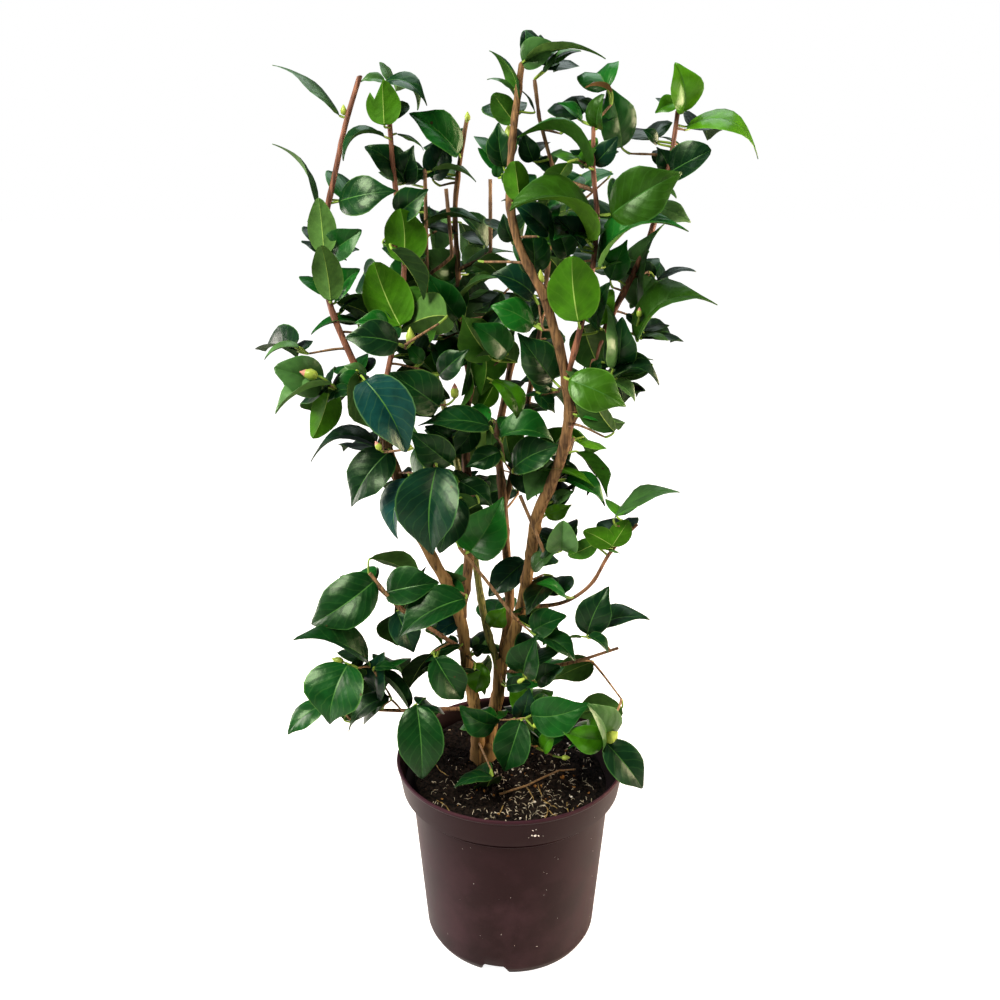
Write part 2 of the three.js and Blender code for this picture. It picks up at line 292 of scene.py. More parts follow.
def triangles(node):
    """The corners (T, 3, 3) of a node's triangles."""
    mesh = NODES[node].data
    corner = np.empty(len(mesh.vertices) * 3)
    mesh.vertices.foreach_get("co", corner)
    mesh.calc_loop_triangles()
    index = np.empty(len(mesh.loop_triangles) * 3, np.int32)
    mesh.loop_triangles.foreach_get("vertices", index)
    return corner.reshape(-1, 3)[index].reshape(-1, 3, 3)


def measure_limb(node):
    """Middle line (M, 3) and radius (M) of a limb, thick end first. A plane square to the limb's long
    axis cuts each triangle along one segment; the segments close into the outline of the cut."""
    tri = triangles(node)
    corner = tri.reshape(-1, 3)
    centre = corner.mean(0)
    axis = np.linalg.svd(corner - centre, full_matrices=False)[2][0]
    axis = axis * (1 if axis[2] > 0 else -1)
    height = (tri - centre) @ axis
    first, last = height.min() + END_MARGIN, height.max() - END_MARGIN
    level = np.linspace(first, last, max(3, round((last - first) / CUT_STEP)))
    h0, h1 = height, np.roll(height, -1, axis=1)
    p0, p1 = tri, np.roll(tri, -1, axis=1)
    cut = level[:, None, None]
    rises = (h0 < cut) & (h1 >= cut)
    falls = (h1 < cut) & (h0 >= cut)
    share = (cut - h0) / np.where(np.abs(h1 - h0) < 1e-12, 1, h1 - h0)
    point = p0[None] + share[..., None] * (p1 - p0)[None]
    enter = (point * rises[..., None]).sum(2)
    leave = (point * falls[..., None]).sum(2)
    crossed = rises.any(2)
    middle = (enter * crossed[..., None]).sum(1) / crossed.sum(1)[:, None]
    a = (enter - middle[:, None]) * crossed[..., None]
    b = (leave - middle[:, None]) * crossed[..., None]
    wedge = np.cross(a, b) @ axis / 2
    area = wedge.sum(1)
    line = middle + ((a + b) / 3 * wedge[..., None]).sum(1) / area[:, None]
    slant = np.abs(unit(np.gradient(line, axis=0)) @ axis)
    radius = np.sqrt(np.abs(area) * slant / PENTAGON)
    if radius[0] < radius[-1]:
        line, radius = line[::-1], radius[::-1]
    return line, radius

# %% A smooth line through the measured points
RING_STEP = 2.5 * MM


def smooth_limb(line, radius, into_bearer):
    """The measured line softened twice, run on to both ends of the solid, pushed `into_bearer` metres
    further into the limb that bears it, and divided evenly into rings."""
    for _ in range(2):
        line[1:-1] = (line[:-2] + 2 * line[1:-1] + line[2:]) / 4
    start = line[0] - unit(line[1] - line[0]) * (END_MARGIN + into_bearer)
    end = line[-1] + unit(line[-1] - line[-2]) * END_MARGIN
    line = np.vstack([start, line, end])
    radius = np.concatenate([radius[:1], radius, radius[-1:]])
    far = np.concatenate([[0], np.cumsum(np.linalg.norm(np.diff(line, axis=0), axis=1))])
    rings = max(6, round(far[-1] / RING_STEP))
    even = np.linspace(0, far[-1], rings)
    slope = np.gradient(line, far, axis=0)
    i = np.clip(np.searchsorted(far, even, side="right") - 1, 0, len(far) - 2)
    gap = (far[i + 1] - far[i])[:, None]
    t = (even - far[i])[:, None] / gap
    smooth = cubic(t, line[i], gap * slope[i], line[i + 1], gap * slope[i + 1])
    return smooth, np.interp(even, far, radius), even


OLD_WOOD = ["trunk", "right_stem_low", "right_stem_high", "right_stem_top", "left_stem"]
INNER_WOOD = ["back_stem", "inner_left_stem", "inner_left_shoot", "back_right_shoot"]
YOUNG_WOOD = ["middle_right_shoot", "right_shoot", "left_shoot", "second_left_shoot",
              "low_left_bough", "lowest_left_bough", "low_right_bough", "lowest_right_bough"]
GREEN_WOOD = ["green_stem"]
FROM_SOIL = ["trunk", "left_stem"]
limbs = {}
for name in OLD_WOOD + INNER_WOOD + YOUNG_WOOD + GREEN_WOOD:
    line, thick = measure_limb(name)
    limbs[name] = smooth_limb(line, thick, 2 * MM if name in FROM_SOIL else thick[0])
print("limbs:", {n: round(l[2][-1] / MM) for n, l in limbs.items()})

# %% [markdown]
# ### Bark
#
# Old camellia bark is smooth for a bark, but close up it is split lengthwise into fine plates, and
# every old leaf left a swollen ring with a scar. Those swellings, the plates and the collar where
# one limb leaves another are all small changes of the tube's radius, so they are modelled, and the
# material only adds the grain that is finer than a millimetre, with paler ridges that are weathered
# and carry a painted highlight. Noise stretched along the height follows the stems, because nearly
# all of them stand upright. Low down the bark turns a paler golden tan: the oldest wood has weathered,
# and the same paler tone is painted light where the crown shades the stems. The last few centimetres
# above the compost are painted darker and greener as shade, so the height alone sets both.

# %% Bark material
STREAK = 1.6 * MM
LENGTHWISE = (1, 1, 0.05)
BARK_PATCH = 14 * MM
# Heights over which the bark turns paler low down (weathered wood and painted light), then the heights and
# tone of the painted shade at the foot.
AGED_AND_PAINTED_LIGHT = (410 * MM, 290 * MM)
PAINTED_FOOT_SHADE = (172 * MM, 146 * MM)
PAINTED_FOOT_SHADE_TONE = linear("#3a3118")


def bark(name, pale, dark, split, gloss, aged_and_lit_tone):
    """Thin bark: pale plates over a darker ground. Seen close, its colour runs in lengthwise streaks,
    dark in the splits and paler on the ridges, weathered there and with a painted highlight; far off
    it is one warm tone, which turns paler low down, weathered old wood and painted light where the
    crown shades the stems, and is painted darker and greener as shade just above the compost."""
    material, tree = new_material(name)
    place = add(tree, "TexCoord").outputs["Object"]
    upright = add(tree, "Mapping", {"Vector": place, "Scale": LENGTHWISE})
    streak = add(tree, "TexNoise", {"Vector": upright, "Scale": 1 / STREAK, "Detail": 4.0})
    patch = add(tree, "TexNoise", {"Vector": place, "Scale": 1 / BARK_PATCH, "Detail": 2.0})
    crack = add(tree, "MapRange", {"Value": streak, "From Min": 0.49, "From Max": 0.37, "To Max": 0.75})
    # Pale ridges: weathered bark with a painted highlight on them.
    ridge_and_highlight = add(tree, "MapRange", {"Value": streak, "From Min": 0.54, "From Max": 0.68, "To Max": 0.6})
    pale_and_highlight = tuple(min(1, c * 1.6) for c in linear(pale)[:3]) + (1.0,)
    cloud = add(tree, "MapRange", {"Value": patch, "From Min": 0.40, "From Max": 0.62})
    height = add(tree, "SeparateXYZ", {0: place})
    # Paler tone low down: weathered old wood, and painted light where the crown shades the stems.
    age_and_painted_light = add(tree, "MapRange", {"Value": height.outputs[2], "From Min": AGED_AND_PAINTED_LIGHT[0], "From Max": AGED_AND_PAINTED_LIGHT[1],
                                 "To Max": 0.75})
    # Painted shade: the bark darker and greener just above the compost.
    foot = add(tree, "MapRange", {"Value": height.outputs[2], "From Min": PAINTED_FOOT_SHADE[0], "From Max": PAINTED_FOOT_SHADE[1],
                                  "To Max": 0.4})
    tone = layered(tree, linear(pale), [(cloud, linear(dark)), (ridge_and_highlight, pale_and_highlight), (age_and_painted_light, linear(aged_and_lit_tone)),
                                        (crack, linear(split)), (foot, PAINTED_FOOT_SHADE_TONE)])
    relief = add(tree, "Bump", {"Height": streak, "Strength": 0.7, "Distance": 0.8 * MM})
    end_with_shader(tree, {"Base Color": tone, "Roughness": gloss,
                           "Specular IOR Level": 0.25, "Normal": relief})
    return material


BARK = {
    # name, plates, ground, splits, roughness, paler colour low down (weathered wood and painted light)
    "old": bark("weathered_tan_bark", "#715636", "#563f26", "#2e2011", 0.80, "#957644"),
    # The inner stems get a darker copy of the bark: painted shade.
    "inner": bark("brown_bark_painted_shade", "#6b5035", "#483522", "#241a12", 0.80, "#7f6139"),
    "young": bark("red_brown_young_bark", "#7c523c", "#5e3b2b", "#3a2119", 0.55, "#94704e"),
    "twig": bark("brown_twig_bark", "#7b5f40", "#5a4430", "#34261b", 0.65, "#8c6e4a"),
    "green": bark("green_young_bark", "#6f7a3c", "#4e5a2a", "#2c3219", 0.55, "#85803f"),
}
CUT_WOOD = bark("cut_end_grain", "#c9ab7c", "#a88558", "#6d5233", 0.85, "#b3946a")
print("bark materials:", list(BARK))

# %% Grow the bark round every limb
SIDES = 16
KNOT_GAP = 42 * MM
KNOT_WIDTH = 3.2 * MM
KNOT_TURN = 2.4
PLATE_WIDTH = 3.2 * MM
PLATE_STRETCH = 0.22
PRUNING_SLANT = np.array([0.6, -0.5, 0.2])


def bark_radius(path, radius, even, seed, plates):
    """Radius for each ring and each side. To the measured radius it adds a swelling at every old leaf
    joint, a collar at the foot, long shallow plates, and a little unevenness."""
    draw = np.random.default_rng(seed)
    angle = np.arange(SIDES) * 2 * math.pi / SIDES
    joints = np.arange(0.5 * KNOT_GAP, even[-1], KNOT_GAP)
    joints = joints + draw.uniform(-0.2, 0.2, len(joints)) * KNOT_GAP
    turn = np.arange(len(joints)) * KNOT_TURN + draw.uniform(0, 6)
    near = np.exp(-((even[:, None] - joints[None]) / KNOT_WIDTH) ** 2)
    facing = 0.5 + 0.5 * np.cos(angle[:, None] - turn[None])
    swell = 1 + (near[:, None, :] * (0.06 + 0.16 * facing[None])).sum(-1)
    collar = 1 + 0.30 * np.exp(-(even / (2.2 * radius[0])) ** 2)
    wrap = np.stack([np.cos(angle), np.sin(angle)], -1) * 4 * MM
    sheet = np.concatenate([np.broadcast_to(wrap[None], (len(even), SIDES, 2)),
                            np.broadcast_to(even[:, None, None] * PLATE_STRETCH, (len(even), SIDES, 1))], -1)
    plate = ripples(sheet, PLATE_WIDTH, seed) * plates
    uneven = ripples(path, 30 * MM, seed + 1)[:, None] * 0.05
    return radius[:, None] * (swell * collar[:, None] + plate + uneven)


def make_bark(group, names, material, plates):
    """One piece for all limbs of one bark, each limb a closed tube with a slanting pruned end."""
    points, faces, index, first = [], [], [], 0
    for n, name in enumerate(names):
        path, radius, even = limbs[name]
        rough = bark_radius(path, radius, even, 40 + n + len(group), plates)
        ring = tube_points(path[None], rough[None], SIDES)[0]
        slant = ring[-1] - path[-1]
        tip = unit(path[-1] - path[-2])
        ring[-1] = ring[-1] + tip * (slant @ PRUNING_SLANT)[:, None]
        side, start, end = ring_faces(1, len(path), SIDES)
        points.append(ring.reshape(-1, 3))
        faces += [[v + first for v in f] for f in side.tolist() + start + end]
        index += [0] * (len(side) + 1) + [1]
        first += len(path) * SIDES
    piece = make_object(group, np.vstack(points), faces, [material, CUT_WOOD], index, 50)
    return dress(piece, "bark", *names)


make_bark("old_stems", OLD_WOOD, BARK["old"], 0.055)
make_bark("inner_stems", INNER_WOOD, BARK["inner"], 0.05)
make_bark("young_shoots", YOUNG_WOOD, BARK["young"], 0.02)
make_bark("green_shoot", GREEN_WOOD, BARK["green"], 0.02)

# %% [markdown]
# ## The leaves
#
# A camellia leaf is a stiff oval blade, five to seven centimetres long, a little folded along its
# pale midrib, with its edges rolled back and its tip drawn out. Its upper skin is waxy, its lower
# skin is paler and dull. One function bends all blades at once: a midrib that arches from base to
# tip, an outline that swells and narrows along it, and a folded cross section. The midrib is a
# narrow strip of faces of its own, so its colour stays where it belongs. ACROSS gives the ten
# points of one cross section, out over the upper skin and back under it, as shares of the half
# width; STRIP says for each face between two of them whether it is upper skin (0), midrib (1),
# lower skin (2) or the raised midrib below (3).

# %% The outline of a blade
BLADE_ROWS = 13
ACROSS = np.array([-1, -0.55, -0.024, 0.024, 0.55, 1, 0.55, 0.024, -0.024, -0.55])
IS_UNDER = np.array([0, 0, 0, 0, 0, 0, 1, 1, 1, 1])
STRIP = np.array([0, 0, 1, 0, 0, 2, 2, 3, 2, 2])
BLADE_THICK = 0.55 * MM
NECK = 0.8 * MM
CREASES = [0, 2, 3, 5, 7, 8]
CAP = [(0, 1, 9), (1, 2, 8, 9), (2, 3, 7, 8), (3, 4, 6, 7), (4, 5, 6)]


def outline(t, point):
    """Half width along the blade, as a share of the widest: a sine hump that is widest before the
    middle, made fuller by a power below one, and drawn in smoothly over the last part, by `point`,
    towards the long sharp tip."""
    hump = np.abs(np.sin(math.pi * np.clip(t, 0, 1) ** 0.84)) ** (0.50 + 0.16 * point)
    late = np.clip((t - 0.56) / 0.44, 0, 1)
    return hump * (1 - point * late * late * (3 - 2 * late))

# %% Bend the blades
# The shares of the way at which an eaten blade ends, one for each point across:
GNAWED = np.array([0.97, 1.0, 0.97, 0.95, 0.56, 0.68, 0.56, 0.95, 0.97, 1.0])


def gnawed(points):
    """The same blades with a piece of the tip eaten: each lengthwise line of points ends at its own
    share of the way, and its rows close up."""
    row = np.arange(BLADE_ROWS)[:, None] * GNAWED
    low = np.minimum(row.astype(int), BLADE_ROWS - 2)
    rest = (row - low)[..., None]
    line = np.arange(len(ACROSS))
    return points[:, low, line] * (1 - rest) + points[:, low + 1, line] * rest


def blade_points(leaf):
    """Points (N, rows, 10, 3) of all blades. The midrib is the straight way from base to tip plus an
    arch of bow * 4t(1-t) and a sideways sweep of the same form; on it lies a cross section folded up
    by `fold` and rolled back by `roll`."""
    even = np.linspace(0, 1, BLADE_ROWS)
    t = (0.4 * even + 0.6 * (1 - np.cos(math.pi * even)) / 2)[None, :, None]
    way = leaf["tip"] - leaf["base"]
    length = np.linalg.norm(way, axis=-1)[:, None, None]
    axis = unit(way)
    side = unit(np.cross(axis, leaf["normal"]))
    up = np.cross(side, axis)
    arch = leaf["bow"][:, None, None] * (4 * t * (1 - t) - 0.5 * leaf["hook"][:, None, None] * t**5)
    rib = leaf["base"][:, None] + way[:, None] * t + up[:, None] * length * arch
    rib = rib + side[:, None] * length * leaf["sweep"][:, None, None] * 4 * t * (1 - t)
    along = unit(np.gradient(rib, axis=1))
    turn = leaf["twist"][:, None, None] * (t - 0.35)
    across = unit(side[:, None] * np.cos(turn) + up[:, None] * np.sin(turn))
    out = unit(np.cross(across, along))
    half = leaf["width"][:, None] / 2 * outline(t[..., 0], leaf["point"][:, None])
    half = half + NECK * (1 - 0.5 * t[..., 0])
    a = np.where(np.abs(ACROSS) < 0.1, ACROSS * (1.35 - t), ACROSS)
    curve = leaf["fold"][:, None, None] * np.abs(a) - leaf["roll"][:, None, None] * np.abs(a) ** 2.6
    swing = np.sin(2 * math.pi * (leaf["waves"][:, None, None] * t + leaf["phase"][:, None, None] + 0.23 * a))
    lift = half[..., None] * (curve + 0.06 * swing * np.abs(a) ** 1.5)
    lift = lift - IS_UNDER * BLADE_THICK * (1 - 0.5 * np.abs(a))
    whole = (rib[:, :, None, :] + across[:, :, None, :] * (half[..., None] * a)[..., None]
             + out[:, :, None, :] * lift[..., None])
    return np.where(leaf["bitten"][:, None, None, None], gnawed(whole), whole)

# %% [markdown]
# ### Leaf skins
#
# The upper skin is a clear wax over deep green: a fairly smooth surface with a thin smoother coat,
# quilted between the side veins. The lower skin has no wax and is yellower. The shades are dealt
# out leaf by leaf, each by a letter: k, d and g are the deep greens of older leaves, from nearly
# black to fresh, m a darker green for the leaves at the foot of the plant, which is painted shade
# from the crown above them, h and y the yellow-greens of this year's leaves, p a dusty sage that
# is a painted sheen of the bright sky on the wax, b a bluish green that is a painted reflection of
# the open sky on the leaves that look up at it, and r the brown of the one dead leaf. A few small
# dark spots lie here and there, as on any plant that has stood outdoors: the middle of some cells
# of a pattern of random cells.

# %% Leaf skin material
VEIN_GAP = 6.0 * MM
VEIN_SHOW = 0.05
VEINS_FORWARD = 0.8
VEIN_WANDER = 5.0
VEIN_BEND = 16 * MM
SHADE_CLOUD = 11 * MM
SHADE_DEPTH = 0.42
MARGIN_AND_HIGHLIGHT_SHOW = 0.30
QUILT_DEPTH = 0.06 * MM
GRAIN_IN_QUILT = 18.0
SPOT_CELL = 14 * MM
SPOT_REACH = 0.08
SPOT_SHARE = 0.75
SPOT_TONE = linear("#2e2812")
WAX_TINT = linear("#a8d89a")
PER_DECIMETRE = 10


def leaf_skin(name, colour, vein, gloss, coat, quilt):
    """Waxed or dull blade. Side veins are drawn from the blade's own map, whose first number is the way
    along the blade and whose second the way out from the midrib, both in decimetres; the thin pale
    margin, partly the leaf's own paler edge and partly a painted highlight, from its second map, which
    runs from 0 at the midrib to 1 at the edge."""
    material, tree = new_material(name)
    own_map = add(tree, "UVMap", uv_map="blade")
    part = add(tree, "SeparateXYZ", {0: own_map})
    forward = add(tree, "Math", {0: part.outputs[1], 1: VEINS_FORWARD}, operation="MULTIPLY")
    line = add(tree, "Math", {0: part, 1: forward}, operation="SUBTRACT")
    pitch = 2 * math.pi / (VEIN_GAP * PER_DECIMETRE)
    place = add(tree, "TexCoord").outputs["Object"]
    stray = add(tree, "TexNoise", {"Vector": place, "Scale": 1 / VEIN_BEND, "Detail": 1.0})
    phase = add(tree, "Math", {0: line, 1: pitch}, operation="MULTIPLY")
    strayed = add(tree, "Math", {0: stray, 1: VEIN_WANDER, 2: phase}, operation="MULTIPLY_ADD")
    wave = add(tree, "Math", {0: strayed}, operation="SINE")
    thin = add(tree, "MapRange", {"Value": wave, "From Min": 0.86, "From Max": 1.0, "To Max": VEIN_SHOW})
    cloud = add(tree, "TexNoise", {"Vector": place, "Scale": 1 / SHADE_CLOUD, "Detail": 4.0})
    shade = add(tree, "MapRange", {"Value": cloud, "From Min": 0.38, "From Max": 0.64, "To Max": 0.6})
    dark = tuple(c * SHADE_DEPTH for c in linear(colour)[:3]) + (1.0,)
    share = add(tree, "UVMap", uv_map="share")
    way_out = add(tree, "SeparateXYZ", {0: share})
    # A thin pale line along the edge: the leaf's own paler margin with a painted highlight on it.
    margin = add(tree, "MapRange", {"Value": way_out.outputs[1], "From Min": 0.93, "From Max": 1.0,
                                    "To Max": MARGIN_AND_HIGHLIGHT_SHOW})
    drawn = add(tree, "Math", {0: thin, 1: margin}, operation="MAXIMUM")
    cell = add(tree, "TexVoronoi", {"Vector": place, "Scale": 1 / SPOT_CELL})
    near = add(tree, "Math", {0: cell.outputs["Distance"], 1: SPOT_REACH}, operation="LESS_THAN")
    chance = add(tree, "SeparateXYZ", {0: cell.outputs["Color"]})
    chosen = add(tree, "Math", {0: chance, 1: SPOT_SHARE}, operation="GREATER_THAN")
    spot = add(tree, "Math", {0: near, 1: chosen}, operation="MULTIPLY")
    tone = layered(tree, linear(colour), [(shade, dark), (drawn, linear(vein)), (spot, SPOT_TONE)])
    rough = add(tree, "Math", {0: cloud, 1: GRAIN_IN_QUILT, 2: wave}, operation="MULTIPLY_ADD")
    relief = add(tree, "Bump", {"Height": rough, "Strength": quilt, "Distance": QUILT_DEPTH})
    end_with_shader(tree, {"Base Color": tone, "Roughness": gloss,
                           "Specular IOR Level": 0.26, "Specular Tint": WAX_TINT, "Coat Weight": coat,
                           "Coat Roughness": 0.24, "Normal": relief})
    return material

# %% Make all leaf skins
SHADES = {
    # letter: two colours for the upper skin, one for the lower
    "k": ("#05190a", "#08220d", "#182f10"),
    "d": ("#072611", "#0b3113", "#204015"),
    "g": ("#0c4412", "#135617", "#2c5a12"),
    # m: a darker green for the low leaves, painted shade from the crown above
    "m": ("#082f0e", "#0c3d14", "#244c18"),
    "h": ("#24490c", "#2f5a0f", "#38600c"),
    "y": ("#33680a", "#41780e", "#336405"),
    # p: a pale sage, a painted sheen of the bright sky on the wax
    "p": ("#365c2b", "#476e3b", "#42672c"),
    # b: a bluish green, a painted reflection of the open sky
    "b": ("#092a1c", "#0c3733", "#224622"),
    "r": ("#6a3a26", "#7d4a2c", "#8d6a45"),
}
LETTERS = list(SHADES)
UPPER, LOWER = [], []
for letter, (first, second, lower) in SHADES.items():
    UPPER.append(leaf_skin("waxed_leaf_" + letter, first, "#5d9a48", 0.34, 0.11, 0.8))
    UPPER.append(leaf_skin("waxed_leaf_fresh_" + letter, second, "#7ab052", 0.30, 0.12, 0.8))
    LOWER.append(leaf_skin("dull_leaf_back_" + letter, lower, "#6d9136", 0.72, 0.0, 0.8))
RIB_TOP = leaf_skin("pale_midrib", "#39682a", "#5a8f42", 0.42, 0.1, 0.0)
RIB_UNDER = leaf_skin("raised_midrib", "#84a24c", "#a4b870", 0.55, 0.0, 0.0)
LEAF_SKINS = UPPER + LOWER + [RIB_TOP, RIB_UNDER]
print("leaf skins:", len(LEAF_SKINS))

# %% [markdown]
# ### Which way each leaf faces
#
# The leaves that a visitor sees first are planted one by one, as a gardener would tell them over:
# in each mass of leaves, where the blade leaves its stalk, where its tip is, how it faces and what
# shade it has. Places are in tenths of the mass's own box: across, up, and back. The facing is one
# letter, so a whole shrub fits in a short list, and a small seeded turn keeps it from looking set:
# s faces the visitor and the sky, u is upright, f leans far forward, n lies nearly flat, a arches
# over, l lies on the compost and points at the visitor, and e is seen edge on. After the letter may
# come how broad the blade is: + broad, * very broad, = heart-shaped, . slim, - seen askew.

# %% The facings
FACINGS = {
    # letter: lean of the tip towards the visitor in degrees, way the upper skin faces, arch
    "s": (14, (0, -0.90, 0.50), 0.11),
    "u": (8, (0, 1, -0.20), 0.06),
    "f": (28, (0, -0.75, 0.8), 0.14),
    "n": (12, (0, -0.25, 1), 0.12),
    "a": (8, (0, -0.30, 1), 0.24),
    "l": (0, (0, 0, 1), 0.10),
    "e": (0, None, 0.12),
}
BROAD = {"": 0.60, "+": 0.68, "*": 0.80, "=": 1.08, "-": 0.58, ".": 0.50}
OBLIQUE = math.radians(50)

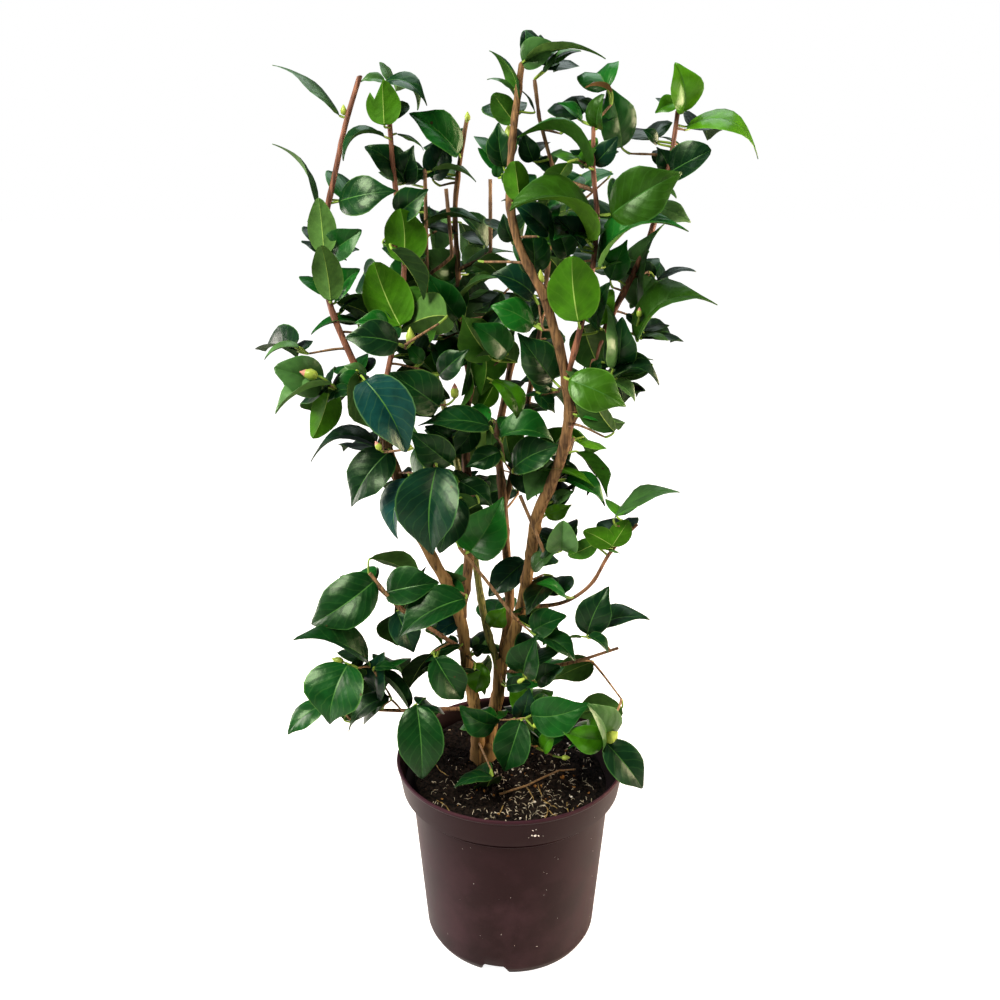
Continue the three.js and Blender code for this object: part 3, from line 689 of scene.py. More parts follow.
# %% The planting list: base across, up, back > tip across, up, then the facing and the shade
PLAN = {
    "left_top": "8 2.5 4 > 1 9 e p",
    "second_top": """4.5 7.5 4 > 2 7.5 n p, 4.5 7.5 4.5 > 9 4.5 a d, 5 7.5 5.5 > 8 4 a p,
        4.5 1.5 1.5 > 4.5 7.5 u* y!, 4.5 0 1 > 0 -2.5 a d, 5.5 0.5 5 > 8.5 -1.5 e p""",
    "second_middle": """5 6.5 6.5 > 1.5 9.5 s d, 4.5 6.5 7 > 6 9.5 s+ d, 5.5 6.5 7.5 > 7 7.5 s g,
        -1 5 3.5 > 4.5 6 s d, 4.5 4 3.5 > 7.5 6 s+ d, 5 0 2.5 > 5 4.5 u* y, 5 -0.5 6 > 7 -1.5 n p""",
    "second_low": """6 6.5 8 > 8.5 0.5 u- g, 5.5 2.5 6.5 > 3 9.5 u+ y, 5.5 1 4 > 0.5 2 s+ d,
        4.5 2 7.5 > 1 3 s g, 7.5 -2 9 > 6 0 s+ g""",
    "left_upper": """3 6.5 5 > -1.5 10.5 e+ p, 4.2 3.5 2.5 > 3.9 7 u. p, 4.5 3.5 4 > 9 5 s+ g,
        3.5 3 6 > 2 5.5 s- d, 3.5 3.5 6 > 6.5 3 s d, 4.9 0.5 1.5 > 4.4 4.2 u. p, 5 0.5 4 > 8.5 2.5 s+ g,
        5.5 -0.5 5 > 8 0.5 n b""",
    "left_elbow": "6.5 6 9.5 > 1.5 5 n g, 7 -3 6 > 5 -1 s p",
    "left_far": """6 6 4.5 > 2.5 8.5 s* p, 4 10 6 > 1 9 n p, 7 6.5 3 > 2.5 4 n p, 6.5 5.5 5 > 5 0 u y,
        9.5 6.5 6 > 7 4.5 s+ g, 9 5.5 4 > 6.5 4.5 a d""",
    "left_glossy": "4 12 2.5 > 8 5 s b, 12 2 6 > 8 6 s d",
    "left_pointed": "7 10 3.5 > 0 9 a d, 8.5 10.5 0.5 > 4.5 3 s+ d",
    "left_stem": "4 9.5 6 > 2.5 3 s- b, 7 12 2.5 > 6.5 3 s+ b, 9 7.5 5.5 > 7 2 s d",
    "inner_top": """3 5 5 > 5 7.5 s+ b, 6 6.5 4 > 1 9 s g, 3 5.5 3.5 > 8 5 n p, 2 2 2 > 8.5 2.5 n d,
        0.5 3 2.5 > 3.5 2.5 n g, 9 0.5 6 > 5.5 3 s- d""",
    "inner_middle": """3 1 3.5 > 4.5 5 s d, 6 3.5 1.5 > 3 8.5 s g, 5.5 7.5 7 > 2 10.5 s p,
        6.5 8 6.5 > 11.5 10.5 n p, 6 5 4 > 10 8 n p, 9 -1.5 2 > 6.5 3.5 s b, 11 0 0 > 7.5 3.5 s g""",
    "inner_low": """9.5 1 1 > 2.5 1.5 n d, 5.5 -1.5 3 > 3 0.5 s d, 4.5 7 2.5 > 7.5 10.5 s d,
        8 0 4 > 5.5 -3.5 s d, 4.5 3.5 1 > 0 8 s+ d, 1 4.5 3 > 4 2 s d""",
    "heart": """3 5 2 > 0.5 3.5 s d, 4 2.5 3 > 7.5 6 s d, 4 1.5 5 > 6.5 -1 s+ d, 7 3 4 > 5 -1.5 s p,
        0 1 2.5 > 2.5 -2 s d, 7 -2 3.5 > 8.5 -0.5 s p, 8 0.5 4.5 > 11 -2.5 s- g, 6.5 -4.5 5 > 8.5 -3 s y,
        3 6.5 3 > 7 6 a g, 2.5 13 4.5 > 4.5 8.5 a y, 2.5 12 6 > 1.5 9 u+ y, 8.5 5 6.5 > 8 0.5 s- d""",
    "inner_front": "3 2 3.5 > 7.5 10 s+ g",
    "centre": """7 6 6 > 3 7.5 s+ b, 7 4 4.5 > 3 5.5 s+ g, 9 0 5.5 > 5.5 3.5 s d, 4.5 5 8 > 2.5 3.5 s+ d,
        9 -1 8 > 6.5 0 s+ d, 7 7.5 4 > 6.5 11 s d, 7.5 -1.5 9.5 > 9.5 -3 s d""",
    "spotted": "3 1.5 5 > 2 7.8 u* y, 6 0 10 > 7 5 s- d",
    "right_broad": """7 1.5 5.5 > 1.5 6.5 a* h, 6.5 0.5 7 > 4.5 4.5 s- b, 4 2.5 7.5 > 1.5 6 s+ b,
        5.5 -0.5 8.5 > 4 4.5 s d""",
    "right_top": """4.5 -1 0.5 > 4 2.5 u+ y, 4 6 4 > 2 8.5 u+ g, 3 2 5.5 > 2.5 6 s d, 2.5 1 6 > 2.5 2.5 s+ g,
        4.5 8 4 > 2 12.5 e g, 4 9 4.5 > 1.5 10 e p, 6 7 4.5 > 4.5 9 e d, 11 2 2 > 4.5 5 a g,
        6 2.5 6.5 > 5 5 s+ d, 8 1.5 7.5 > 6 2.5 s+ d, 11 2 6 > 9.5 3.5 s+ d, 4 -5 5 > 3 -2.5 s d""",
    "crest": "1.2 3.2 3.5 > 4.2 7.2 s* p, 1.5 3.5 2.5 > 9.3 4 n p, 3.3 1.5 6 > 7 6.5 s- p",
    "middle_top": """3.2 4 2.5 > 3.5 7.5 f* h, 1.8 4.8 3.5 > -0.5 6.8 s- g, 4.5 8 3.5 > 2 8.5 n- r,
        0.5 4.5 4 > -1 5 e p, 6 2 7 > 4.5 8.5 s+ g, 3 0 2.5 > 5 3 s b, 9.5 2.5 7.5 > 8 4 s d""",
    "middle_right": "2.5 4 3 > 9.5 8 s+ h, 1.5 -1 2.5 > 10 3.5 a g, 3 -2.5 5.5 > 4.5 1.5 s g",
    "far_right_top": """4 4.5 1.5 > 3 9.5 s+ y, 3.5 5.5 2 > 1.5 4.5 s+ y, 4.5 3 3 > 11 0.5 a y,
        3 -2 0.5 > 6.2 0.4 s* d, 3 -2 1.5 > 1.7 0.7 s+ d, 4.5 1 7 > 2.5 2 e p""",
    "right_shoot": """3.5 7 3 > 6 6.5 n p, 3.5 6 5.5 > 8.5 5 s p, 1.5 -0.5 1.5 > 3.5 5 s- p,
        0.5 2 7 > 3.5 3 s+ y, 4 1 4 > 9 2 n d, 3.5 1 4.5 > 1 2.5 s+ d, 3.5 1.5 2.5 > 0.5 -0.5 s p""",
    "right_long": "0.5 -0.5 6.5 > 7.5 6 a+ h, 1 0 8 > 3.5 -0.5 n p",
    "right_elbow": """4 4.5 6 > 3.5 11.5 e p, 4.5 4.5 7 > 4.5 10 s d, 0 4 3 > 4.8 1.5 s+ h,
        4 3.5 6 > 8 3.5 a d, 4.5 4 7 > 7.5 5.5 e p, 4 3 6.5 > 6 1 n p, 1 -0.5 6 > 3 -1 n g,
        0.5 0 8.5 > 4 -0.5 s- d, 2.5 4 7.5 > 3 5.5 s d""",
    "right_low": """3 2.5 4.5 > 3 5.5 s* p, 6.5 3.5 3.5 > 3.5 2.5 u g, 8 3.5 2.5 > 5 5 u+ y,
        8 3.5 2.5 > 9.5 6 u y, 0.5 1.5 5.5 > 2 3 s d, 0 0.5 5 > 2.5 2.5 n p, 7.5 3 3 > 9 2.5 e p,
        3.5 -2 4.5 > 0.5 0 n g""",
    "right_far": "0.5 4 4 > 7 9 n- p",
    "low_right": "2.5 3.5 4.5 > 4.5 11 s d, 3 3.5 6 > 9 5.5 n d, 2.5 4 3 > 4.5 2 n d, 2 2.5 6 > 0.5 2 e p",
    "low_middle": """3 5.5 4.5 > 8.5 7.5 s+ m, 4 5.5 3 > 10 4 n m, 1.5 2 2 > 3.5 6.5 s+ m,
        4 -0.5 6 > 8 1.5 s+ d, 2 10.5 11.5 > -4.5 7.5 s b, -4 4 10 > -1.5 6.5 s+ y""",
    "low_inner": """2.5 5.5 4.5 > 8.5 7 s+ m, 11.5 5.5 2.5 > 4 2 s- m, 3.5 3 5 > 5.5 -1.5 s+ b,
        11.5 4.5 9 > 9 7 s p, 10.5 1 7.5 > 7.5 -0.5 s b""",
    "low_left": "8.5 7.5 6 > 1 3.5 s m, 7.5 -0.5 4 > 0 3.5 s- m",
    "lowest_left": """5 9.5 3 > 3.5 3 f= m, 3 2.5 5.5 > -0.5 -1 s- m, 8 3 6 > 4.5 -1 n m,
        7 2 7.5 > 7.5 9.5 s- b, 7 8 5 > 9 8 n m, 2 5 5 > 1 6 e p""",
    "rim_left": """4 10.5 3 > 7 6.5 s+ m, 10.5 2.5 5.5 > 6.5 5 s m, 2 6.5 1.5 > 2.5 0 s m,
        9 7.5 8.5 > 8 4.5 s+ y, 6.5 10 7 > 2.5 8.5 n d, 8 8.5 9 > 9.5 9.5 s d""",
    "foot": "7 7.5 5 > 5 0.5 f+ m, 3.5 0 3.5 > -1 -1.5 l d, 7 6.5 6.5 > 8 12 s b",
    "rim_right": """1.5 5 3.5 > 6 7.5 s g, 7.5 2.5 2.5 > 6 8 s- p, 7.5 3.5 2 > 4 5 s y, 7 3 2 > 4.5 2.5 n g,
        7.5 3.5 1 > 10.5 -0.5 s d, 2.5 1.5 3 > 3.5 4 s- y, -0.5 6.5 6.5 > 1.5 7 s d""",
}
print("leaves told over:", sum(len(told.split(",")) for told in PLAN.values()))

# %% The buds that were told over: foot > tip, then g green, r tinged with pink, or o fat and round
BUD_PLAN = {
    "left_top": "8.5 2.5 4 > 8.5 3.5 g", "inner_top": "7 8.5 5 > 7 9 g", "inner_low": "6 4 2.5 > 6 6 r",
    "second_low": "6.5 0.5 6 > 6.5 2.5 g", "left_far": "6 7.5 2.5 > 4.5 8 r",
    "left_glossy": "5 4 4.5 > 4.5 5 r, 8.5 5 2 > 7 5 g, 10.5 2.5 6 > 10.5 4 g",
    "left_stem": "8.5 2 7.5 > 8.5 3 g", "heart": "8.5 0 5 > 8.5 1.5 g", "centre": "7.5 7 2 > 7.5 8 g",
    "right_long": "0.5 3 6.5 > 0.5 4.5 r", "low_middle": "0.5 1 2 > 1.5 1.5 g",
    "lowest_left": "4.5 9 4.5 > 3.5 9.5 g", "foot": "8.5 6.5 5 > 9.5 7.5 g", "right_top": "3.5 4 5 > 3.5 6 g",
    "rim_right": "7.5 3.3 1.5 > 9.2 5.2 o, 4 1 2.5 > 4.5 1 g",
    "back_left": "6 8 8 > 6.5 9 r", "back_right": "4 9 8 > 4 10 g", "back_middle": "5 9 9 > 5 10 g",
}
print("buds told over:", sum(len(told.split(",")) for told in BUD_PLAN.values()))

# %% The thin leafless shoots and side twigs that were told over: foot > top
SHOOT_PLAN = {
    "second_middle": "7 -3 6 > 7 7.5, 9.5 0.5 6 > 9 6",
    "inner_top": "9.5 0.5 4 > 9.5 5",
    "right_top": "8 1.5 7 > 6.5 6.5, 6.5 6.5 7 > 6 10",
    "inner_front": "9 -7.5 4 > 5 -2, 5 -2 4 > 1.5 2.5",
    "low_left": "11 5 5 > 8 8.5",
    "heart": "6.5 -9 3 > 4.5 -1",
}
print("shoots told over:", sum(len(told.split(",")) for told in SHOOT_PLAN.values()))

# %% Read the list into arrays
DRAW = np.random.default_rng(11)
TURN = math.radians(6)
TENTH = 0.1
EDGE_FOLD = 0.12
ROUND_TIP = 0.35
UNSETTLED = 0.18


def read_place(text, mass):
    """'4 7.5 3 > 8 4' as two points: base and tip, both in tenths of the mass's box, the tip at the
    same depth as the base."""
    low, high = (np.array(v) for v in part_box("leaves_" + mass))
    here, there = text.split(">")
    u, w, v = (float(n) * TENTH for n in here.split())
    tip_u, tip_w = (float(n) * TENTH for n in there.split())
    size = high - low
    return low + size * [u, v, w], low + size * [tip_u, v, tip_w]


def new_leaf(base, tip, normal, ratio, bow, shade):
    """One leaf as a dictionary; the seeded numbers make no two alike."""
    return {
        "base": base, "tip": tip, "normal": unit(normal + DRAW.normal(size=3) * UNSETTLED),
        "width": ratio * np.linalg.norm(tip - base) * DRAW.uniform(0.94, 1.06), "bow": bow,
        "hook": DRAW.uniform(0.2, 1.4), "twist": DRAW.normal() * 0.35, "sweep": DRAW.normal() * 0.03,
        "fold": DRAW.uniform(0.35, 0.85), "roll": DRAW.uniform(0.20, 0.50),
        "point": DRAW.uniform(0.45, 0.85), "waves": DRAW.uniform(0.8, 2.2), "phase": DRAW.uniform(),
        "shade": shade, "alone": False, "bitten": False,
    }

# %% The leaves that were told over
FRESH_SHARE = 0.4


def shade_number(letter):
    """The place of that shade among the upper skins: its first colour, or its second by chance."""
    return LETTERS.index(letter) * 2 + (DRAW.uniform() < FRESH_SHARE)


def planted(mass):
    """The leaves told over for one mass. A ! after the shade is the leaf with the eaten tip."""
    found = []
    for entry in PLAN.get(mass, "").split(","):
        if not entry.strip():
            continue
        *place, facing, letter = entry.split()
        bitten = letter.endswith("!")
        letter = letter.rstrip("!")
        base, tip = read_place(" ".join(place), mass)
        flat = tip - base
        gap = np.linalg.norm(flat)
        lean, normal, bow = FACINGS[facing[0]]
        edge_on = np.cross(flat / gap, unit(base - np.array(EYE)))
        edge_on = edge_on * (1 if edge_on[2] > 0 else -1)
        if facing[0] == "e":
            normal = edge_on
        if facing[1:] == "-":
            normal = unit(np.array(normal)) * math.cos(OBLIQUE) + edge_on * math.sin(OBLIQUE)
        lean = math.radians(lean) + DRAW.normal() * TURN
        tip = base + flat + np.array([0, -1, 0]) * gap * math.tan(lean)
        if facing[0] == "l":
            tip = base + (tip - base) * [1, 1, 0] + [0, -gap * 0.4, 0]
        leaf = new_leaf(base, tip, np.array(normal, float), BROAD[facing[1:]], bow, shade_number(letter))
        leaf["alone"] = facing[0] == "e"
        leaf["bitten"] = bitten
        if leaf["alone"]:
            leaf["fold"] = EDGE_FOLD * (3 if facing[1:] else 1)
            leaf["twist"] = leaf["twist"] * 0.3
        if facing[0] == "u" or facing[1:] == "*":
            leaf["point"] = leaf["point"] * ROUND_TIP
        found.append(leaf)
    return found

# %% [markdown]
# ### The sides that nobody counts
#
# Leaves stand on all sides of a shoot, so every leaf that was told over has a partner or two that
# leave the same joint of the twig towards the far side of the shrub. They lie mostly behind their
# leaf as the visitor sees it, so the crown is as full from behind as from the front while the gaps
# of sky stay open. The thick middle of the crown and the masses at the back also get a seeded
# scatter of leaves over their own skin.

# %% Partners behind the leaves
JOINT_GAP = (3 * MM, 11 * MM)
SPREADS = ((14, 38), (4, 22))
TURNS = (0.4, 1.4)
FIRST_PARTNER = 0.67
SECOND_PARTNER = 0.5
OPEN_TOPS = ["left_top", "second_top", "second_middle", "left_upper", "inner_top", "right_top",
             "crest", "middle_top", "middle_right", "far_right_top", "right_shoot", "right_far",
             "low_right"]
PARTNER_LENGTHS = (36 * MM, 54 * MM)
SHADE_MIX = "kkkddddgggyp"


def partner(leaf, spread, most_turn):
    """A leaf from the same joint that runs away from the visitor: its way is the line of sight,
    opened by `spread` degrees towards the first leaf's own way turned by up to most_turn radians."""
    flat = unit(leaf["tip"] - leaf["base"])
    sight = unit(leaf["base"] - np.array(EYE))
    flat = unit(flat - sight * (flat @ sight))
    turned = DRAW.uniform(-most_turn, most_turn)
    flat = flat * math.cos(turned) + np.cross(sight, flat) * math.sin(turned)
    opened = math.radians(DRAW.uniform(*spread))
    way = sight * math.cos(opened) + flat * math.sin(opened)
    base = leaf["base"] + sight * DRAW.uniform(*JOINT_GAP) + flat * 3 * MM
    tip = base + way * DRAW.uniform(*PARTNER_LENGTHS)
    normal = np.array([0, 0.15, 1.0]) + flat * 0.5
    shade = shade_number(DRAW.choice(list(SHADE_MIX)))
    return new_leaf(base, tip, normal, DRAW.uniform(0.54, 0.68), DRAW.uniform(0.06, 0.18), shade)


def partners(planted_leaves, open_top):
    """One partner for each leaf, and a second, closer to the line of sight, for half of them. In the
    open tops of the shoots two leaves in three have one, close to the line of sight."""
    found = []
    for leaf in planted_leaves:
        if leaf["alone"] or open_top and DRAW.uniform() > FIRST_PARTNER:
            continue
        found.append(partner(leaf, SPREADS[1] if open_top else SPREADS[0], TURNS[0]))
        if not open_top and DRAW.uniform() < SECOND_PARTNER:
            found.append(partner(leaf, SPREADS[1], TURNS[1]))
    return found

# %% A scatter of leaves over a mass
LEAF_LENGTHS = (38 * MM, 52 * MM)
SPACING = 20 * MM
TRIES = 260
BURIED = 6 * MM
SCATTER = {"heart": 5, "inner_low": 5, "inner_middle": 4, "second_low": 3, "centre": 4, "left_glossy": 2,
           "left_stem": 2, "right_elbow": 3, "right_low": 2, "rim_right": 3, "rim_left": 2, "low_inner": 2,
           "low_middle": 2, "lowest_left": 2, "right_broad": 2, "back_low": 11, "back_middle": 12,
           "back_left": 9, "back_right": 9}


def scattered(mass):
    """Leaves over the far side of a mass, or all round it at the back. Spots come from random triangles
    of its skin, likelier where larger, and none is closer than SPACING to another."""
    tri = triangles("leaves_" + mass)
    cross = np.cross(tri[:, 1] - tri[:, 0], tri[:, 2] - tri[:, 0])
    area = np.linalg.norm(cross, axis=1) / 2
    skin = unit(cross)
    if not mass.startswith("back"):
        area = area * (skin[:, 1] > 0.3)
    pick = DRAW.choice(len(tri), TRIES, p=area / area.sum())
    share = DRAW.dirichlet([1, 1, 1], TRIES)
    spot = (tri[pick] * share[:, :, None]).sum(1)
    centre = tri.reshape(-1, 3).mean(0)
    kept = []
    for n in range(len(spot)):
        if all(np.linalg.norm(spot[n] - spot[k]) > SPACING for k in kept):
            kept.append(n)
    found = []
    for n in kept[:SCATTER[mass]]:
        out = skin[pick[n]]
        length = DRAW.uniform(*LEAF_LENGTHS)
        inward = (centre - spot[n]) * [1, 0.2, 1]
        wish = unit(inward) + unit(DRAW.normal(size=3)) * 0.8 + np.array([0, 0, -0.3])
        way = unit(wish - out * (wish @ out) * 0.8)
        middle = spot[n] - out * BURIED
        normal = out * 0.7 + np.array([0, 0, 0.75])
        shade = shade_number(DRAW.choice(list(SHADE_MIX)))
        found.append(new_leaf(middle - way * length / 2, middle + way * length / 2, normal,
                              DRAW.uniform(0.52, 0.68), DRAW.uniform(0.04, 0.13), shade))
    return found

# %% All leaves, one region of the crown after another
REGIONS = {
    "crown_left_leaves": ["left_top", "left_upper", "left_elbow", "left_far", "left_glossy",
                          "left_pointed", "second_top", "second_middle", "second_low"],
    "crown_inner_leaves": ["inner_top", "inner_middle", "inner_low", "heart", "inner_front",
                           "left_stem", "centre"],
    "crown_right_leaves": ["right_top", "crest", "middle_top", "middle_right", "far_right_top",
                           "right_shoot", "right_long", "right_broad", "spotted", "right_elbow",
                           "right_low", "right_far"],
    "low_leaves": ["low_inner", "low_left", "lowest_left", "low_middle", "low_right", "rim_left",
                   "rim_right", "foot"],
    "back_leaves": ["back_left", "back_right", "back_middle", "back_low"],
}
leaves = {}
for region, masses in REGIONS.items():
    found = []
    for mass in masses:
        seen_leaves = planted(mass)
        found += seen_leaves + partners(seen_leaves, mass in OPEN_TOPS)
        if mass in SCATTER:
            found += scattered(mass)
    leaves[region] = {field: np.array([leaf[field] for leaf in found]) for field in found[0]}
print("leaves:", {region: len(group["width"]) for region, group in leaves.items()})

# %% Make the blades
for region, group in leaves.items():
    points = blade_points(group)
    count = len(points)
    side, start, end = ring_faces(count, BLADE_ROWS, len(ACROSS))
    strip = np.tile(STRIP, count * (BLADE_ROWS - 1))
    side[strip >= 2] = np.roll(side[strip >= 2], -1, axis=1)
    owner = np.repeat(np.arange(count), (BLADE_ROWS - 1) * len(ACROSS))
    shade = group["shade"][owner]
    skin = np.choose(strip, [shade, np.full_like(shade, len(LEAF_SKINS) - 2),
                             len(UPPER) + shade // 2, np.full_like(shade, len(LEAF_SKINS) - 1)])
    skin = np.concatenate([skin, group["shade"], np.repeat(group["shade"], len(CAP))])
    closing = [[ring[n] for n in part] for ring in end for part in CAP]
    piece = make_object(region, points, side.tolist() + start + closing, LEAF_SKINS, skin)
    edge = np.empty(len(piece.data.edges) * 2, np.int32)
    piece.data.edges.foreach_get("vertices", edge)
    column = edge.reshape(-1, 2) % len(ACROSS)
    crisp = (column[:, 0] == column[:, 1]) & np.isin(column[:, 0], CREASES)
    piece.data.attributes.new("sharp_edge", "BOOLEAN", "EDGE").data.foreach_set("value", crisp)
    length = np.linalg.norm(group["tip"] - group["base"], axis=1)
    along = np.linspace(0, 1, BLADE_ROWS)[None, :, None] * length[:, None, None] * PER_DECIMETRE
    out = np.abs(ACROSS)[None, None, :] * group["width"][:, None, None] / 2 * PER_DECIMETRE
    own_map = np.stack(np.broadcast_arrays(along, out), -1).reshape(-1, 2)
    corner = np.empty(len(piece.data.loops), np.int32)
    piece.data.loops.foreach_get("vertex_index", corner)
    piece.data.uv_layers.new(name="blade").data.foreach_set("uv", own_map[corner].ravel())
    share = np.stack([np.zeros(len(corner)), np.abs(ACROSS)[corner % len(ACROSS)]], -1)
    piece.data.uv_layers.new(name="share").data.foreach_set("uv", share.ravel())
    dress(piece, "foliage", *["leaves_" + mass for mass in REGIONS[region]])

# %% [markdown]
# ## Twigs and leaf stalks
#
# No leaf floats: each has a short yellow-green stalk, and each stalk sits on a limb or on a twig.
# The rule that grows them is a simple one. Leaves are taken in order, nearest to the limbs first.
# Each looks for the nearest wood, and wood below it counts as nearer than wood above it, because
# shoots grow upwards. Where that wood is a limb close by, a stalk is enough; where it is far, a
# twig is grown across, and the twig becomes wood that later leaves may sit on. So twigs fork and
# carry sprays, as real ones do.

# %% Where each leaf wants to sit
STALK = 8 * MM
LONGEST_STALK = 16 * MM
TWIG_THICK = (1.15 * MM, 0.75 * MM)
STALK_THICK = (0.95 * MM, 0.75 * MM)
DOWNWARD_COST = 0.9
BUD_SIZES = (7 * MM, 13 * MM)
bases = np.vstack([group["base"] for group in leaves.values()])
first_way = np.vstack([unit(unit(g["tip"] - g["base"]) + unit(g["normal"]) * 4 * g["bow"][:, None])
                       for g in leaves.values()])
buds = []
for mass, told in BUD_PLAN.items():
    for entry in told.split(","):
        *place, kind = entry.split()
        foot, top = read_place(" ".join(place), mass)
        buds.append((foot, unit(top - foot), np.clip(np.linalg.norm(top - foot), *BUD_SIZES), kind))
bud_base, bud_way, bud_size, bud_kind = (np.array(column) for column in zip(*buds))
ways = np.vstack([first_way, bud_way])
goals = np.vstack([bases, bud_base + bud_way * MM])

# %% The thin shoots that were told over, each joined to the wood next to its foot
TWIG_STEPS = 12
RISE = 14 * MM
wood = {
    "place": np.vstack([limb[0] for limb in limbs.values()]),
    "way": np.vstack([unit(np.gradient(limb[0], axis=0)) for limb in limbs.values()]),
    "thick": np.concatenate([limb[1] for limb in limbs.values()]),
}
twigs = []


def grow_twig(start, end, leave, arrive):
    """Notes a twig down, and counts its points as wood from now on."""
    twigs.append((start, end, leave, arrive))
    path = bend(start[None], end[None], leave[None], arrive[None], TWIG_STEPS)[0]
    grown = {"place": path, "way": unit(np.gradient(path, axis=0)),
             "thick": np.full(TWIG_STEPS, TWIG_THICK[1])}
    for field in wood:
        wood[field] = np.concatenate([wood[field], grown[field][1:]])


for mass, told in SHOOT_PLAN.items():
    for entry in told.split(","):
        foot, top = read_place(entry, mass)
        far = np.linalg.norm(foot - wood["place"], axis=1)
        too_high = np.maximum(0, wood["place"][:, 2] - foot[2] + RISE) * (far > MM)
        k = int(np.argmin(far + 2 * too_high))
        seat, bearer = wood["place"][k], wood["way"][k]
        if far[k] > MM:
            grow_twig(seat, foot, unit(foot - seat) + bearer * 0.8, unit(top - foot))
        grow_twig(foot, top, unit(top - foot), unit(top - foot))
told_twigs = len(twigs)
print("thin shoots:", told_twigs)

# %% Grow towards the leaves
nearest = np.linalg.norm(goals[:, None] - wood["place"][None, ::3], axis=2).min(1)
stalk_from, stalk_leave = goals.copy(), ways.copy()
for n in np.argsort(nearest, kind="stable"):
    gap = goals[n] - wood["place"]
    far = np.linalg.norm(gap, axis=1)
    k = int(np.argmin(far - wood["thick"] + DOWNWARD_COST * np.maximum(0, -gap[:, 2])))
    toward, root, bearer = unit(gap[k]), wood["place"][k], wood["way"][k]
    stalk_from[n] = root
    stalk_leave[n] = unit(toward + bearer * 0.3)
    if far[k] >= wood["thick"][k] + LONGEST_STALK:
        seat = goals[n] - unit(toward + 0.6 * ways[n]) * STALK
        stalk_from[n] = seat
        stalk_leave[n] = unit(seat - root)
        grow_twig(root, seat, unit(toward * 0.8 + bearer * 0.5), stalk_leave[n])
print("twigs:", len(twigs), " stalks:", len(goals))

# %% Make the twigs
TWIG_SIDES = 8
TOLD_STOUT = 1.2
LONG_TWIG = 80 * MM
twig_path = bend(*np.moveaxis(np.array(twigs), 1, 0), TWIG_STEPS)
twig_length = np.linalg.norm(np.diff(twig_path, axis=1), axis=2).sum(1)
print("longest twigs in mm:", np.sort(twig_length)[-8:] / MM)
taper = np.linspace(0, 1, TWIG_STEPS)[None, :]
twig_radius = TWIG_THICK[0] + (TWIG_THICK[1] - TWIG_THICK[0]) * taper
twig_radius = twig_radius * (0.85 + 3.0 * np.minimum(twig_length, LONG_TWIG)[:, None])
twig_radius[:told_twigs] = TWIG_THICK[0] * TOLD_STOUT
twig_radius = twig_radius * (1 + 0.08 * ripples(twig_path, 9 * MM, 5))
dress_tubes("twigs", tube_points(twig_path, twig_radius, TWIG_SIDES), [BARK["twig"]], "bark")

# %% Make the leaf stalks
STALK_STEPS = 7
STALK_SIDES = 6
stalk_green = leaf_skin("green_leaf_stalk", "#7f9c3e", "#93ad4e", 0.45, 0.1, 0.0)
stalk_path = bend(stalk_from, goals, stalk_leave, ways, STALK_STEPS)
fade = np.linspace(0, 1, STALK_STEPS)[None, :]
stalk_radius = STALK_THICK[0] + (STALK_THICK[1] - STALK_THICK[0]) * fade
points = tube_points(stalk_path, np.broadcast_to(stalk_radius, stalk_path.shape[:2]), STALK_SIDES)
dress_tubes("leaf_stalks", points, [stalk_green], "foliage")

# %% [markdown]
# ## Buds
#
# Next spring's flower buds are already there: plump, pointed, wrapped in overlapping scales, pale
# green and some of them pink where a petal begins to show. Each is a tube whose radius swells and
# closes, with a small step wherever one scale ends on the next.

# %% Bud shapes
BUD_ROWS = 14
BUD_SIDES = 10
PLUMP = 1.5
bud_plump = np.where(bud_kind == "o", PLUMP, 1.0)
bud_draw = np.random.default_rng(23)
t = np.linspace(0, 1, BUD_ROWS)
bud_hump = np.sin(math.pi * t ** 0.72) ** 0.8 * (1 - 0.35 * t ** 4) + 0.06
angle = np.arange(BUD_SIDES) * 2 * math.pi / BUD_SIDES
scale_step = ((t[:, None] * 3.2 + angle[None, :] / (2 * math.pi) * 2) % 1) * 0.12
bud_path = bud_base[:, None] + bud_way[:, None] * (bud_size[:, None] * t[None])[..., None]
bud_fat = bud_size * bud_draw.uniform(0.26, 0.34, len(bud_size)) * bud_plump
bud_radius = bud_fat[:, None, None] * (bud_hump[:, None] * (1 - scale_step))[None]
points = tube_points(bud_path, bud_radius, BUD_SIDES)
bud_green = leaf_skin("bud_scales_green", "#9db348", "#c3cf7a", 0.42, 0.2, 0.4)
bud_tip = leaf_skin("bud_scales_pink", "#c98a7a", "#b56a60", 0.42, 0.2, 0.3)
row = np.tile(np.repeat(np.arange(BUD_ROWS - 1), BUD_SIDES), len(points))
bud_pink = bud_kind == "r"
pink = np.repeat(bud_pink, (BUD_ROWS - 1) * BUD_SIDES)
index = np.concatenate([(row > BUD_ROWS * 0.6) & pink, np.zeros(len(points)), bud_pink])
dress_tubes("buds", points, [bud_green, bud_tip], "foliage", index, 50)

# %% [markdown]
# ## The pot
#
# The pot is one thin wall of injection-moulded polypropylene: a cone with a shoulder, a taller
# collar above it that stiffens the mouth, a rolled lip, and three notches at the foot that let
# water out. It is a profile turned once about the middle. The notches are made on the same grid:
# wherever a notch is, every point of the foot lower than its roof is lifted to the roof.

